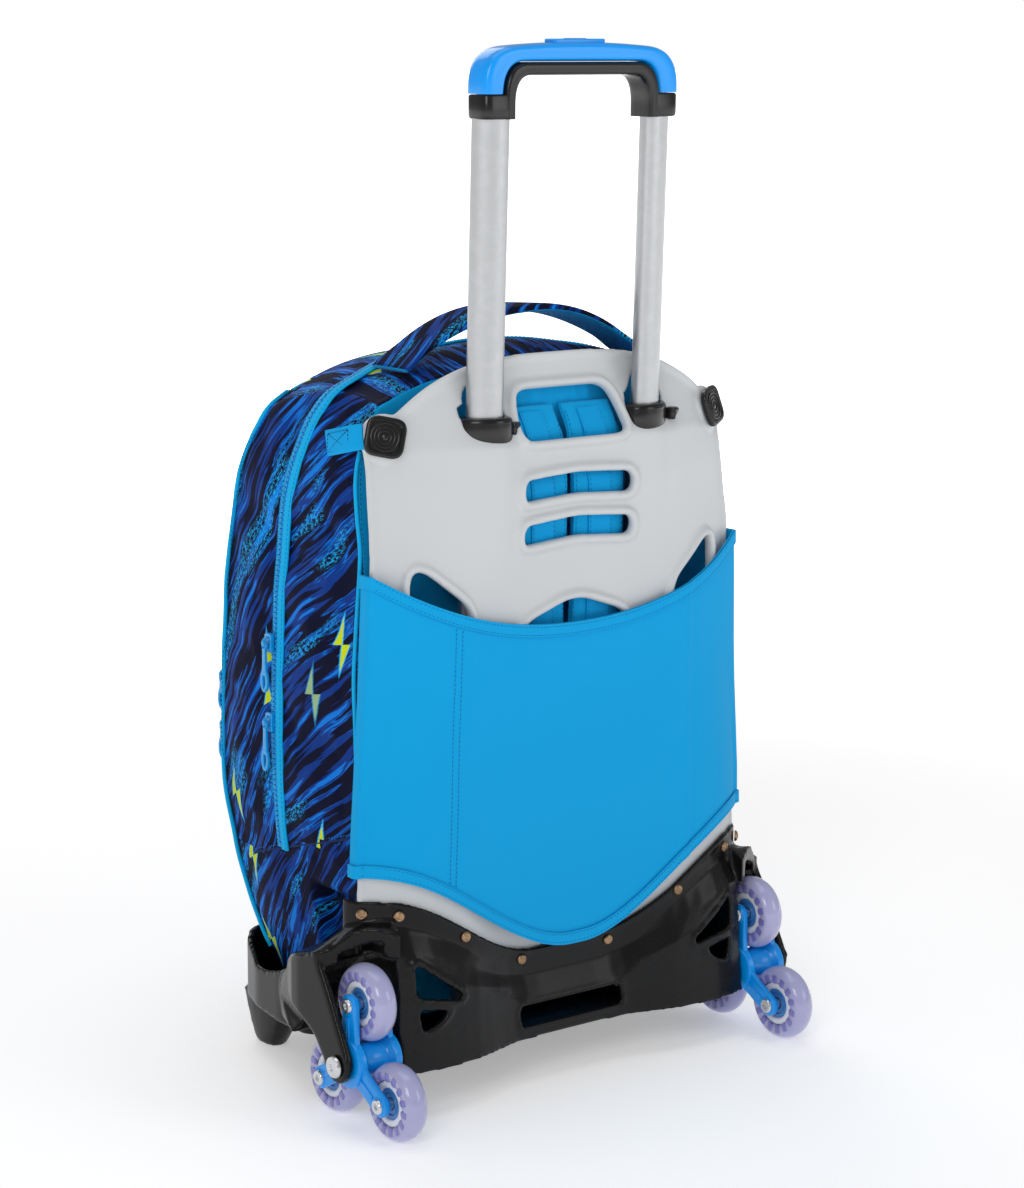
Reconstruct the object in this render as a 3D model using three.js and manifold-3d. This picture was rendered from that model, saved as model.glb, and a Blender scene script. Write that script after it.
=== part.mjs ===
// School trolley backpack: a printed fabric bag standing in a moulded tray, held to a
// telescopic-handle frame by a cloth sleeve, with two three-wheel stair spiders.
// Millimetres. +Z up, the frame's back panel faces -Y, X = 0 is the mid-plane.
// The origin lies on the floor under the middle of the bounding box.
import * as THREE from 'three';
import { mergeVertices } from 'three/addons/utils/BufferGeometryUtils.js';
import Module from 'manifold-3d';

const wasm = await Module();
wasm.setup();

// ---- driving dimensions ----
const GAP = 0.4;                    // clearance kept between touching pieces
const FRONT_Y = 303;                // pocket's foremost point, from the lower front wheel axle
const WHEEL = { r: 27.5, width: 18, coreR: 16.2, bearingR: 11, axleR: 4, headR: 5.4 };
const ORIGIN_Y = (FRONT_Y - WHEEL.r) / 2;
const SPIDER = {
  x: 178.4, y: 35.85, z: 48.2, arm: 41.4, plateIn: 11.5, plateOut: 16, bossR: 17.5, bossOut: 18.5,
  barrelR: 12.6, armHalf: 8, boreR: 5.3,
};
const HUB_AXLE = { r: 5, from: 146, to: 209, headR: 8, innerR: 6.2 };
const WELL = { r: 71, innerX: 157.5, outerX: 198.2, archR: 83, archFrom: 166, archTo: 191 };
const FENDER = { innerX: 150, outerX: 205, straightTo: 85, endY: 160, endX: 171 };
const TUBE = {
  x: 72, y: 45.8, atZ: 481.9, lean: -0.0302, turn: THREE.MathUtils.degToRad(22),
  a: 14.2, b: 9.2, wall: 1.4, outerA: 16.3, outerB: 11.3, top: 697, bottom: 318,
  outerTop: 459, outerBottom: 50,
};
const COLLAR = { a: 22, b: 15, bottom: 463, top: 487 };
const GRIP = {
  y: 39.4, half: 12, legOut: 85.3, legIn: 55, bottom: 690, split: 706.5, innerTop: 719, band: 5,
  outerTop: 741.3, innerR: 12, coverR: 22,
};
const BUTTON = { halfX: 23, halfY: 6, bottom: 735.3, top: 743.6, travel: 4 };
const PANEL = { half: 173, thick: 3, topZ: 526, cornerDrop: 56, hem: 18 };
const SNAP = {
  x: 146, y: 59.5, z: 477, half: 14, thick: 4.5, bossR: 17, bossDeep: 6, turn: 0.47, tilt: 0.25,
};
const TRAY = { floor: 38, wall: 3.5, bottom: 35, noseY: 257 };
const RIVET = { r: 4.1, thick: 1.5 };
const SLEEVE = { half: 174.8, thick: 1.4, back: 61, beyond: 3.4, wrapBeyond: 4.8 };
const BAG = { bottom: 47, top: 527 };

// ---- small number helpers ----
const clamp01 = (t) => Math.min(1, Math.max(0, t));
const smooth = (t) => clamp01(t) ** 2 * (3 - 2 * clamp01(t));
const mix = (a, b, t) => a + (b - a) * t;

// Linear interpolation in a short list of [position, value] stations.
function along(stations, at) {
  const last = stations.length - 1;
  if (at <= stations[0][0]) return stations[0][1];
  for (let i = 0; i < last; i += 1) {
    const [p, v] = stations[i];
    const [q, w] = stations[i + 1];
    if (at <= q) return mix(v, w, (at - p) / (q - p));
  }
  return stations[last][1];
}

// ---- solid helpers ----
function solid(geometry) {
  const g = geometry.clone();
  g.deleteAttribute('normal');
  g.deleteAttribute('uv');
  const merged = mergeVertices(g, 1e-4);
  return new wasm.Manifold(new wasm.Mesh({
    numProp: 3,
    vertProperties: new Float32Array(merged.attributes.position.array),
    triVerts: new Uint32Array(merged.index.array),
  }));
}

function geometryOf(body) {
  const mesh = body.getMesh();
  const g = new THREE.BufferGeometry();
  g.setAttribute('position', new THREE.BufferAttribute(new Float32Array(mesh.vertProperties), 3));
  g.setIndex(new THREE.BufferAttribute(new Uint32Array(mesh.triVerts), 1));
  g.computeVertexNormals();
  return g;
}

// A box of nx x ny x nz cells whose corners (u, v, w in -1..1) are placed by a formula.
function shaped(nx, ny, nz, place) {
  const g = new THREE.BoxGeometry(2, 2, 2, nx, ny, nz);
  const p = g.attributes.position;
  for (let i = 0; i < p.count; i += 1) p.setXYZ(i, ...place(p.getX(i), p.getY(i), p.getZ(i)));
  return g;
}

// An outline through points whose corners are rounded to about the given radius.
function rounded(points, radius) {
  const shape = new THREE.Shape();
  points.forEach(([x, y], i) => {
    const here = new THREE.Vector2(x, y);
    const before = new THREE.Vector2(...points[(i + points.length - 1) % points.length]);
    const after = new THREE.Vector2(...points[(i + 1) % points.length]);
    const reachIn = Math.min(radius, before.distanceTo(here) / 2.05);
    const reachOut = Math.min(radius, after.distanceTo(here) / 2.05);
    const a = here.clone().add(before.sub(here).setLength(reachIn));
    const b = here.clone().add(after.sub(here).setLength(reachOut));
    if (i === 0) shape.moveTo(a.x, a.y);
    else shape.lineTo(a.x, a.y);
    shape.quadraticCurveTo(here.x, here.y, b.x, b.y);
  });
  shape.closePath();
  return shape;
}

const ellipse = (a, b) => {
  const shape = new THREE.Shape();
  shape.absellipse(0, 0, a, b, 0, 2 * Math.PI, false, 0);
  return shape;
};

function extruded(shape, depth, curveSegments = 4) {
  return new THREE.ExtrudeGeometry(shape, { depth, bevelEnabled: false, curveSegments });
}

// Outline drawn in X-Y, standing from z0 to z1.
const standing = (shape, z0, z1, n) => extruded(shape, z1 - z0, n).translate(0, 0, z0);
// Outline drawn in X-Z, reaching from y0 to y1.
const reaching = (shape, y0, y1, n) => extruded(shape, y1 - y0, n).rotateX(Math.PI / 2).translate(0, y1, 0);
// Outline drawn in Y-Z, spanning from x0 to x1.
const spanning = (shape, x0, x1, n) =>
  extruded(shape, x1 - x0, n).rotateZ(Math.PI / 2).rotateY(Math.PI / 2).translate(x0, 0, 0);

// A turned piece: [radius, position] stations swept about the X axis through y, z.
function turned(profile, segments, y, z) {
  const points = profile.map(([r, x]) => new THREE.Vector2(r, x));
  return new THREE.LatheGeometry(points, segments).rotateZ(-Math.PI / 2).translate(0, y, z);
}

// A mirror image across X = 0, with its faces still pointing out.
function mirrored(geometry) {
  const g = geometry.clone().scale(-1, 1, 1);
  const flat = g.index ? g.toNonIndexed() : g;
  const p = flat.attributes.position;
  for (let i = 0; i < p.count; i += 3) {
    const keep = [p.getX(i + 1), p.getY(i + 1), p.getZ(i + 1)];
    p.setXYZ(i + 1, p.getX(i + 2), p.getY(i + 2), p.getZ(i + 2));
    p.setXYZ(i + 2, ...keep);
  }
  return flat;
}
const onSide = (side, geometry) => (side < 0 ? mirrored(geometry) : geometry);

// ---- scene graph ----
const finish = (color, roughness, metalness = 0) =>
  new THREE.MeshStandardMaterial({ color, roughness, metalness });
const FINISH = {
  panel: finish(0xc8cacb, 0.42), base: finish(0x1c1a19, 0.45), cyan: finish(0x0a9fdc, 0.85),
  print: finish(0x10307a, 0.85), blue: finish(0x0088e6, 0.35), alu: finish(0xc4c6c8, 0.32, 1),
  black: finish(0x141414, 0.35), rivet: finish(0x8a6a4a, 0.4, 1), steel: finish(0xb8bcc0, 0.25, 1),
  core: finish(0xe4e6ea, 0.4), tyre: finish(0x9a98c8, 0.2), zip: finish(0x149fe0, 0.4),
};
const model = new THREE.Group();
model.position.y = -ORIGIN_Y;
function add(name, geometry, material) {
  const mesh = new THREE.Mesh(geometry, material.clone());
  mesh.name = name;
  model.add(mesh);
}
const SIDES = [['left', -1], ['right', 1]];

// ---- back panel: one moulded shell, dished in the middle, its top leaning back ----
const CENTRE_Y = [[60, 50], [85, 45.5], [100, 44], [145, 40], [200, 37], [300, 35], [400, 32.5],
  [440, 32.2], [468, 34.5], [505, 55], [530, 62]];
const RIDGE_Y = [[100, 9], [145, 7], [250, 3], [350, 0]];
const EDGE_Y = [[100, 57], [395, 56], [453, 64], [480, 70], [530, 70]];
const EDGE_X = [[150, 172.2], [200, 170.4], [300, 164], [395, 160], [453, 158]];
function panelFront(x, z) {
  const ax = Math.abs(x);
  const middle = along(CENTRE_Y, z) - along(RIDGE_Y, z) * smooth((ax - 40) / 60);
  const out = clamp01((ax - 60) / (along(EDGE_X, z) - 60));
  const power = mix(4.5, 2, clamp01((z - 150) / 250));
  const channel = 6 * Math.exp(-(((ax - TUBE.x) / 20) ** 2)) * smooth((z - 360) / 70)
    * (1 - smooth((z - 466) / 16));
  return mix(middle, along(EDGE_Y, z), out ** power) - channel;
}
// Upper edge of the tray's riveted lip; the panel reaches a hem's height below it.
const lipZ = (x) => 98.5 + 57.5 * smooth((Math.abs(x) - 28) / 137);

const mirrorX = (points) => points.map(([x, z]) => [-x, z]).reverse();
const WINDOWS = [
  [[[-49, 467], [49, 467], [46, 490], [40, 504], [-40, 504], [-46, 490]], 13],
  [[[-50, 425], [0, 428], [50, 425], [50, 443], [0, 446], [-50, 443]], 8],
  [[[-50, 394], [0, 398], [50, 394], [50, 411], [0, 415], [-50, 411]], 8],
  [[[-40, 232], [40, 232], [51, 340], [0, 358], [-51, 340]], 16],
  [[[90, 262], [137, 252], [137, 383], [128, 388], [90, 357]], 12],
];
WINDOWS.push([mirrorX(WINDOWS[4][0]), WINDOWS[4][1]]);

const tubeShift = (z) => TUBE.y + (z - TUBE.atZ) * TUBE.lean;
// A prism along the leaning tube axis: an oval drawn about the tube's own centre.
function alongTube(side, a, b, z0, z1, segments = 10) {
  const g = standing(ellipse(a, b), z0, z1, segments);
  g.rotateZ(side * TUBE.turn);
  const p = g.attributes.position;
  for (let i = 0; i < p.count; i += 1) {
    p.setXYZ(i, p.getX(i) + side * TUBE.x, p.getY(i) + tubeShift(p.getZ(i)), p.getZ(i));
  }
  return g;
}

// The panel's shell, grown all round by a clearance where a neighbour is cut to fit it.
function panelShell(grow = 0) {
  return solid(shaped(18, 1, 15, (u, v, w) => {
    const x0 = u * PANEL.half;
    const top = PANEL.topZ - PANEL.cornerDrop * Math.abs(u) ** 3.2;
    const z = mix(lipZ(x0) - PANEL.hem, top, (w + 1) / 2);
    const x = u * along(EDGE_X, z);
    return [x + u * grow, panelFront(x, z) + (v + 1) / 2 * PANEL.thick + v * grow, z + w * grow];
  }));
}
// Turns a piece drawn about the snap's own centre, facing -Y, to lie on the panel's corner.
const seatSnap = (geometry, side) => geometry.rotateX(-SNAP.tilt).rotateZ(side * SNAP.turn)
  .translate(side * SNAP.x, SNAP.y, SNAP.z);
function backPanel() {
  let body = panelShell();
  SIDES.forEach(([, side]) => {
    const boss = new THREE.CylinderGeometry(SNAP.bossR, SNAP.bossR - 2, SNAP.bossDeep, 20)
      .translate(0, SNAP.bossDeep / 2, 0);
    body = body.add(solid(seatSnap(boss, side)));
  });
  WINDOWS.forEach(([points, r]) => {
    body = body.subtract(solid(reaching(rounded(points, r), 10, 90, 2)));
  });
  SIDES.forEach(([, side]) => {
    const seat = alongTube(side, COLLAR.a + GAP, COLLAR.b + GAP, COLLAR.bottom - GAP, 520);
    body = body.subtract(solid(seat));
  });
  return geometryOf(body);
}
add('back_panel', backPanel(), FINISH.panel);

// ---- tray: front wall with riveted lip, floor, side walls, wheel housings, feet ----
function trayFront(x, z) {
  const drop = lipZ(x) - z;
  const bulge = 12 * smooth((drop - 15) / 25) + 0.15 * Math.max(0, drop - 40);
  return panelFront(x, z) - PANEL.thick - GAP - bulge;
}
const TRAY_HALF = [[20, 157], [112, 157], [128, 171], [160, 171], [200, 165], [230, 154], [245, 140],
  [253, 110], [TRAY.noseY, 60]];
const RIM = [[52, 141], [67, 136], [81, 131], [95, 125], [113, 112], [125, 102], [140, 89], [160, 78],
  [180, 72], [197, 70], [215, 78], [235, 84], [TRAY.noseY + 5, 86]];
const TRAY_WINDOWS = [
  [[[147, 116], [104, 85], [108, 79], [147, 87]], 6],
  [[[146, 82], [115, 77], [126, 66], [142, 60]], 6],
];

function trayOutline(inset) {
  const inwards = (y) => inset * smooth((y - 205) / 45);    // the nose's corners keep their wall
  const right = TRAY_HALF.map(([y, x]) => [x - inset, y - inwards(y)]);
  return rounded([...right, ...mirrorX(right)], 6);
}

function fender() {
  const side = [[16, 60], [16, 119], [20, 132], [27, 138], [40, 142], [54, 140], [67, 135.5], [82, 127.5],
    [98, 116], [112, 105], [126, 93], [152, 79], [158, 66], [152, 48], [110, 50], [45, 36.5], [36, 35],
    [28, 37.5], [23, 48]];
  const g = spanning(rounded(side, 5), FENDER.innerX, FENDER.outerX, 2);
  const p = g.attributes.position;
  const reach = (y) => mix(FENDER.outerX, FENDER.endX,
    clamp01((y - FENDER.straightTo) / (FENDER.endY - FENDER.straightTo)));
  for (let i = 0; i < p.count; i += 1) {
    if (p.getX(i) > FENDER.innerX + 1) p.setX(i, reach(p.getY(i)));
  }
  const well = turned([[0, WELL.innerX], [WELL.r, WELL.innerX], [WELL.r, WELL.outerX], [0, WELL.outerX]],
    24, SPIDER.y, SPIDER.z);
  const arch = turned([[0, WELL.archFrom], [WELL.archR, WELL.archFrom], [WELL.archR, WELL.archTo],
    [0, WELL.archTo]], 24, SPIDER.y, SPIDER.z);
  const archZone = new THREE.BoxGeometry(60, 100, 100).translate(180, 12, 98);
  const armFront = spanning(rounded([[-20, 46], [22.4, 46], [24, 56], [57, 116], [57, 170], [-20, 170]], 3),
    WELL.outerX - 2, FENDER.outerX + 5, 2);
  const slant = standing(rounded([[157.5, -20], [220, -20], [220, 72], [200, 57], [157.5, 25]], 0.5),
    100, 170, 1);
  return solid(g).subtract(solid(well)).subtract(solid(arch).intersect(solid(archZone)))
    .subtract(solid(armFront)).subtract(solid(slant));
}

function cornerLip() {
  const path = new THREE.CatmullRomCurve3([[148, 39], [158, 42.5], [167, 48], [173.2, 53.5], [176.6, 60],
    [177.6, 68]].map(([x, y]) => new THREE.Vector3(x, y, 0)));
  return shaped(8, 1, 2, (u, v, w) => {
    const t = (u + 1) / 2;
    const at = path.getPointAt(t);
    const tangent = path.getTangentAt(t);
    const inward = (v + 1) / 2 * 2.6;
    const z = mix(131, lipZ(at.x), (w + 1) / 2);
    return [at.x - tangent.y * inward, at.y + tangent.x * inward, z];
  });
}

function foot(side) {
  return shaped(4, 4, 5, (u, v, w) => {
    const t = (w + 1) / 2;
    const round = 1 - 0.14 * (1 - t) ** 4;
    const x = 138 + u * mix(9, 15, t) * round * Math.sqrt(1 - 0.3 * v * v);
    const y = mix(222, 214, t) + v * mix(15, 31, t) * round * Math.sqrt(1 - 0.3 * u * u);
    return [side * x, y, t * (TRAY.floor + 3)];
  });
}

function baseTray() {
  const wall = shaped(24, 1, 7, (u, v, w) => {
    const x = u * WELL.innerX;
    const z = mix(TRAY.bottom, lipZ(x), (w + 1) / 2);
    return [x, trayFront(x, z) + (v + 1) / 2 * PANEL.thick, z];
  });
  let tray = solid(standing(trayOutline(0), TRAY.floor, 150, 3))
    .subtract(solid(standing(trayOutline(TRAY.wall), TRAY.floor + TRAY.wall, 170, 3)));
  const mouth = [...RIM, [TRAY.noseY + 5, 180], [0, 180], [0, 150]];
  tray = tray.subtract(solid(spanning(rounded(mouth, 2), -240, 240, 2)));
  // Everything ahead of the front wall is open.
  const ahead = shaped(24, 1, 5, (u, v, w) => {
    const x = u * 170;
    const z = mix(TRAY.bottom - 5, 170, (w + 1) / 2);
    return [x, v < 0 ? -60 : trayFront(x, Math.min(z, lipZ(x))) + 1, z];
  });
  tray = tray.subtract(solid(ahead)).add(solid(wall));
  SIDES.forEach(([, side]) => {
    const housing = solid(onSide(side, geometryOf(fender())));
    const inside = solid(standing(trayOutline(TRAY.wall), TRAY.floor + TRAY.wall, 170, 3));
    const clearFront = solid(shaped(2, 1, 5, (u, v, w) => {
      const x = mix(140, WELL.innerX, (u * side + 1) / 2);
      const z = mix(30, 150, (w + 1) / 2);
      return [side * x, v < 0 ? -60 : trayFront(x, z) + 1, z];
    }));
    tray = tray.add(housing.subtract(inside).subtract(clearFront));
    tray = tray.add(solid(onSide(side, cornerLip())));
    tray = tray.add(solid(side < 0 ? mirrored(foot(1)) : foot(1)));
    TRAY_WINDOWS.forEach(([points, r]) => {
      const outline = side < 0 ? mirrorX(points) : points;
      tray = tray.subtract(solid(reaching(rounded(outline, r), -10, 70, 3)));
    });
    const bore = turned([[0, 140], [SPIDER.boreR, 140], [SPIDER.boreR, 215], [0, 215]], 12,
      SPIDER.y, SPIDER.z);
    tray = tray.subtract(solid(onSide(side, bore)));
  });
  const slot = rounded([[-48, 42.5], [48, 42.5], [48, 60.2], [-48, 60.2]], 4);
  tray = tray.subtract(solid(reaching(slot, -10, 70, 3)));
  // The panel's hem and corners slide in behind the lip.
  return geometryOf(tray.subtract(panelShell(GAP)));
}
add('base_tray', baseTray(), FINISH.base);

// ---- rivets through the lip ----
const RIVETS = [[40, 92.3], [98, 122.5], [150, 144.8]];
function rivetAt(x, y, z, normal) {
  const g = new THREE.CylinderGeometry(RIVET.r - 0.6, RIVET.r, RIVET.thick, 14);
  g.applyQuaternion(new THREE.Quaternion().setFromUnitVectors(new THREE.Vector3(0, 1, 0), normal));
  const out = normal.clone().multiplyScalar(RIVET.thick / 2 + 0.7);
  return g.translate(x + out.x, y + out.y, z + out.z);
}
SIDES.forEach(([name, side]) => {
  RIVETS.forEach(([x, z], i) => {
    const slopeX = (trayFront(x + 1, z) - trayFront(x - 1, z)) / 2;
    const slopeZ = (trayFront(x, z + 1) - trayFront(x, z - 1)) / 2;
    const normal = new THREE.Vector3(side * slopeX, -1, slopeZ).normalize();
    add(`${name}_rivet_${i + 1}`, rivetAt(side * x, trayFront(x, z), z, normal), FINISH.rivet);
  });
  const corner = new THREE.Vector3(side * 0.72, -0.69, 0).normalize();
  add(`${name}_rivet_4`, rivetAt(side * 172.7, 50.8, 147, corner), FINISH.rivet);
});

// ---- telescopic tubes and collars ----
SIDES.forEach(([name, side]) => {
  const outer = solid(alongTube(side, TUBE.outerA, TUBE.outerB, TUBE.outerBottom, TUBE.outerTop))
    .subtract(solid(alongTube(side, TUBE.outerA - TUBE.wall, TUBE.outerB - TUBE.wall, TUBE.outerBottom - 1,
      TUBE.outerTop + 1)));
  add(`${name}_outer_tube`, geometryOf(outer), FINISH.alu);
  const collar = solid(alongTube(side, COLLAR.a, COLLAR.b, COLLAR.bottom, COLLAR.top, 12))
    .subtract(solid(alongTube(side, TUBE.a + GAP, TUBE.b + GAP, COLLAR.bottom - 1, COLLAR.top + 1, 12)));
  add(`${name}_collar`, geometryOf(collar), FINISH.black);
  const inner = solid(alongTube(side, TUBE.a, TUBE.b, TUBE.bottom, TUBE.top, 10))
    .subtract(solid(alongTube(side, TUBE.a - TUBE.wall, TUBE.b - TUBE.wall, TUBE.bottom - 1,
      TUBE.top + 1, 10)));
  add(`${name}_inner_tube`, geometryOf(inner), FINISH.alu);
});

// ---- grip: black U-shaped body, blue cover over it, release button on top ----
function gripSolid(points, radius, half = GRIP.half) {
  return solid(reaching(rounded(points, radius), GRIP.y - half, GRIP.y + half, 6));
}
const gripU = (halfWidth, top, radius, grow = 0) => gripSolid(
  [[-halfWidth, GRIP.bottom - 20], [halfWidth, GRIP.bottom - 20], [halfWidth, top], [-halfWidth, top]],
  radius, GRIP.half + grow);
function gripBody() {
  const legs = gripSolid([[-GRIP.legOut, GRIP.bottom], [GRIP.legOut, GRIP.bottom], [GRIP.legOut, GRIP.split],
    [-GRIP.legOut, GRIP.split]], 1);
  const bandTop = GRIP.innerTop + GRIP.band;
  const band = gripSolid([[-GRIP.legIn - GRIP.band, GRIP.bottom], [GRIP.legIn + GRIP.band, GRIP.bottom],
    [GRIP.legIn + GRIP.band, bandTop], [-GRIP.legIn - GRIP.band, bandTop]], GRIP.innerR + GRIP.band);
  let body = legs.add(band).subtract(gripU(GRIP.legIn, GRIP.innerTop, GRIP.innerR, 5));
  SIDES.forEach(([, side]) => {
    const socket = alongTube(side, TUBE.a + GAP, TUBE.b + GAP, GRIP.bottom - 5, TUBE.top + GAP);
    body = body.subtract(solid(socket));
  });
  return geometryOf(body);
}
function gripCover() {
  const crown = [[-GRIP.legOut, GRIP.split + GAP], [GRIP.legOut, GRIP.split + GAP], [GRIP.legOut, 738],
    [30, GRIP.outerTop], [-30, GRIP.outerTop], [-GRIP.legOut, 738]];
  const edge = GRIP.band + GAP;
  const inner = gripU(GRIP.legIn + edge, GRIP.innerTop + edge, GRIP.innerR + GRIP.band, 5);
  const pocket = new THREE.BoxGeometry(2 * (BUTTON.halfX + GAP), 2 * (BUTTON.halfY + GAP), 20)
    .translate(0, GRIP.y, BUTTON.bottom - BUTTON.travel - 0.5 + 10);
  return geometryOf(gripSolid(crown, GRIP.coverR).subtract(inner).subtract(solid(pocket)));
}
add('grip_body', gripBody(), FINISH.black);
add('grip_cover', gripCover(), FINISH.blue);
add('handle_button', standing(rounded([[-BUTTON.halfX, -BUTTON.halfY], [BUTTON.halfX, -BUTTON.halfY],
  [BUTTON.halfX, BUTTON.halfY], [-BUTTON.halfX, BUTTON.halfY]], 3), BUTTON.bottom, BUTTON.top, 3)
  .translate(0, GRIP.y, 0), FINISH.blue);

// ---- stair spiders, wheels and axles ----
const WHEEL_SPOTS = [['front', 210], ['upper', 90], ['rear', -30]].map(([name, degrees]) => {
  const angle = THREE.MathUtils.degToRad(degrees);
  return [name, SPIDER.y + SPIDER.arm * Math.cos(angle), SPIDER.z + SPIDER.arm * Math.sin(angle), angle];
});
function spider() {
  const star = new THREE.Shape();
  WHEEL_SPOTS.map(([, , , angle]) => angle).forEach((angle, i) => {
    const dir = new THREE.Vector2(Math.cos(angle), Math.sin(angle));
    const across = new THREE.Vector2(dir.y, -dir.x).multiplyScalar(SPIDER.armHalf);
    const root = dir.clone().multiplyScalar(21).sub(across);
    const rootEnd = dir.clone().multiplyScalar(21).add(across);
    if (i === 0) star.moveTo(root.x, root.y);
    else star.lineTo(root.x, root.y);
    const tip = dir.clone().multiplyScalar(SPIDER.arm);
    star.absarc(tip.x, tip.y, SPIDER.armHalf, angle + Math.PI / 2, angle - Math.PI / 2, true);
    const between = angle - Math.PI / 3;
    const next = new THREE.Vector2(Math.cos(between), Math.sin(between)).multiplyScalar(12);
    star.lineTo(rootEnd.x, rootEnd.y);
    star.lineTo(next.x, next.y);
  });
  star.closePath();
  const plate = (x0, x1) => solid(spanning(star, x0, x1, 4).translate(SPIDER.x, SPIDER.y, SPIDER.z));
  let body = plate(-SPIDER.plateOut, -SPIDER.plateIn).add(plate(SPIDER.plateIn, SPIDER.plateOut));
  const barrel = turned([[0, -SPIDER.bossOut], [SPIDER.bossR - 1.5, -SPIDER.bossOut],
    [SPIDER.bossR, -SPIDER.bossOut + 1.5], [SPIDER.bossR, -SPIDER.plateIn],
    [SPIDER.barrelR, -SPIDER.plateIn + 2], [SPIDER.barrelR, SPIDER.plateIn - 2],
    [SPIDER.bossR, SPIDER.plateIn], [SPIDER.bossR, SPIDER.bossOut - 1.5],
    [SPIDER.bossR - 1.5, SPIDER.bossOut], [0, SPIDER.bossOut]], 18, SPIDER.y, SPIDER.z)
    .translate(SPIDER.x, 0, 0);
  body = body.add(solid(barrel));
  const bore = turned([[0, -30], [SPIDER.boreR, -30], [SPIDER.boreR, 30], [0, 30]], 12, SPIDER.y, SPIDER.z);
  body = body.subtract(solid(bore.translate(SPIDER.x, 0, 0)));
  WHEEL_SPOTS.forEach(([, y, z]) => {
    const hole = turned([[0, -30], [WHEEL.axleR + 0.3, -30], [WHEEL.axleR + 0.3, 30], [0, 30]], 10, y, z);
    body = body.subtract(solid(hole.translate(SPIDER.x, 0, 0)));
  });
  return geometryOf(body);
}

function tyre(y, z) {
  const half = WHEEL.width / 2;
  const inner = WHEEL.coreR + 0.3;
  return turned([[inner, 1.5 - half], [21, -half], [25.2, -6], [WHEEL.r, 0], [25.2, 6], [21, half],
    [inner, half - 1.5], [inner, 1.5 - half]], 18, y, z);
}
function core(y, z) {
  const bore = WHEEL.axleR + 0.25;
  return turned([[bore, -6], [WHEEL.bearingR, -6], [WHEEL.bearingR, -7.4], [WHEEL.coreR, -7.2],
    [WHEEL.coreR, 7.2], [WHEEL.bearingR, 7.4], [WHEEL.bearingR, 6], [bore, 6], [bore, -6]], 14, y, z);
}
function axle(y, z) {
  const headIn = SPIDER.plateOut + GAP;
  const { axleR: r, headR } = WHEEL;
  const headOut = headIn + 2.1;
  return turned([[0, -headOut], [headR, -headOut], [headR, -headIn], [r, -headIn],
    [r, headIn], [headR, headIn], [headR, headOut], [0, headOut]], 10, y, z);
}
SIDES.forEach(([name, side]) => {
  const seat = (g) => onSide(side, g.translate(SPIDER.x, 0, 0));
  add(`${name}_spider`, onSide(side, spider()), FINISH.blue);
  WHEEL_SPOTS.forEach(([spot, y, z]) => {
    add(`${name}_${spot}_tyre`, seat(tyre(y, z)), FINISH.tyre);
    add(`${name}_${spot}_core`, seat(core(y, z)), FINISH.core);
    add(`${name}_${spot}_axle`, seat(axle(y, z)), FINISH.steel);
  });
  const { r, from, to, headR, innerR } = HUB_AXLE;
  const hub = turned([[0, from], [innerR, from], [innerR, from + 3.5], [r, from + 3.5],
    [r, FENDER.outerX + 0.5], [headR, FENDER.outerX + 0.5], [headR - 1.5, to], [0, to]], 16,
  SPIDER.y, SPIDER.z);
  add(`${name}_hub_axle`, onSide(side, hub), FINISH.steel);
});

// ---- bag: body, front pocket, carry handle, straps, pad ----
const BAG_FRONT = [[47, 226], [77, 250], [137, 275], [200, 286], [260, 286], [358, 284], [430, 270],
  [480, 245], [507, 235], [527, 222]];
const BAG_HALF = [[47, 148], [60, 156], [100, 162], [150, 169.5], [300, 168], [400, 163], [450, 160.5],
  [480, 152.5], [500, 140], [510, 131], [519, 118], [527, 84]];
function bagAt(u, s, z) {
  const ax = Math.abs(u);
  const free = smooth((z - 150) / 50);    // above the tray the front corners are fuller
  const half = along(BAG_HALF, z) * (1 - mix(0.08, 0.06, free) * s * s);
  const back = 73 - 11 * ax ** 4 * (1 - smooth((z - 380) / 60)) + 3 * smooth((z - 420) / 40);
  const front = along(BAG_FRONT, z) - mix(42 * ax ** 4, 34 * ax ** 5.2, free);
  return [u * half, mix(back, front, s), z];
}
function bagBody() {
  const skin = shaped(10, 6, 12, (u, v, w) => {
    const s = (v + 1) / 2;
    const hump = s < 0.35 ? 5 * (1 - s / 0.35) ** 2 : 20 * ((s - 0.35) / 0.65) ** 2;
    const top = BAG.top - hump - 21.6 * Math.abs(u) ** 5;
    return bagAt(u, s, mix(BAG.bottom, top, (w + 1) / 2));
  });
  // The wheel housings bite into the bag's lower back corners.
  return geometryOf(SIDES.reduce((bag, [, side]) => bag.subtract(
    solid(new THREE.BoxGeometry(60, 120, 120).translate(side * (149.4 + 30), 61, 91))), solid(skin)));
}
add('bag_body', bagBody(), FINISH.print);
add('front_pocket', shaped(6, 1, 6, (u, v, w) => {
  const z = 210 + w * 117;
  const x = u * (124 - 10 * Math.abs(w) ** 4);
  const [, skin] = bagAt(x / along(BAG_HALF, z), 1, z);
  const puff = Math.sqrt((1 - u ** 4) * (1 - w ** 4));
  return [x, v < 0 ? skin + 2.7 : Math.min(FRONT_Y, skin + 4 + 10 * puff), z];
}), FINISH.print);

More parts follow.
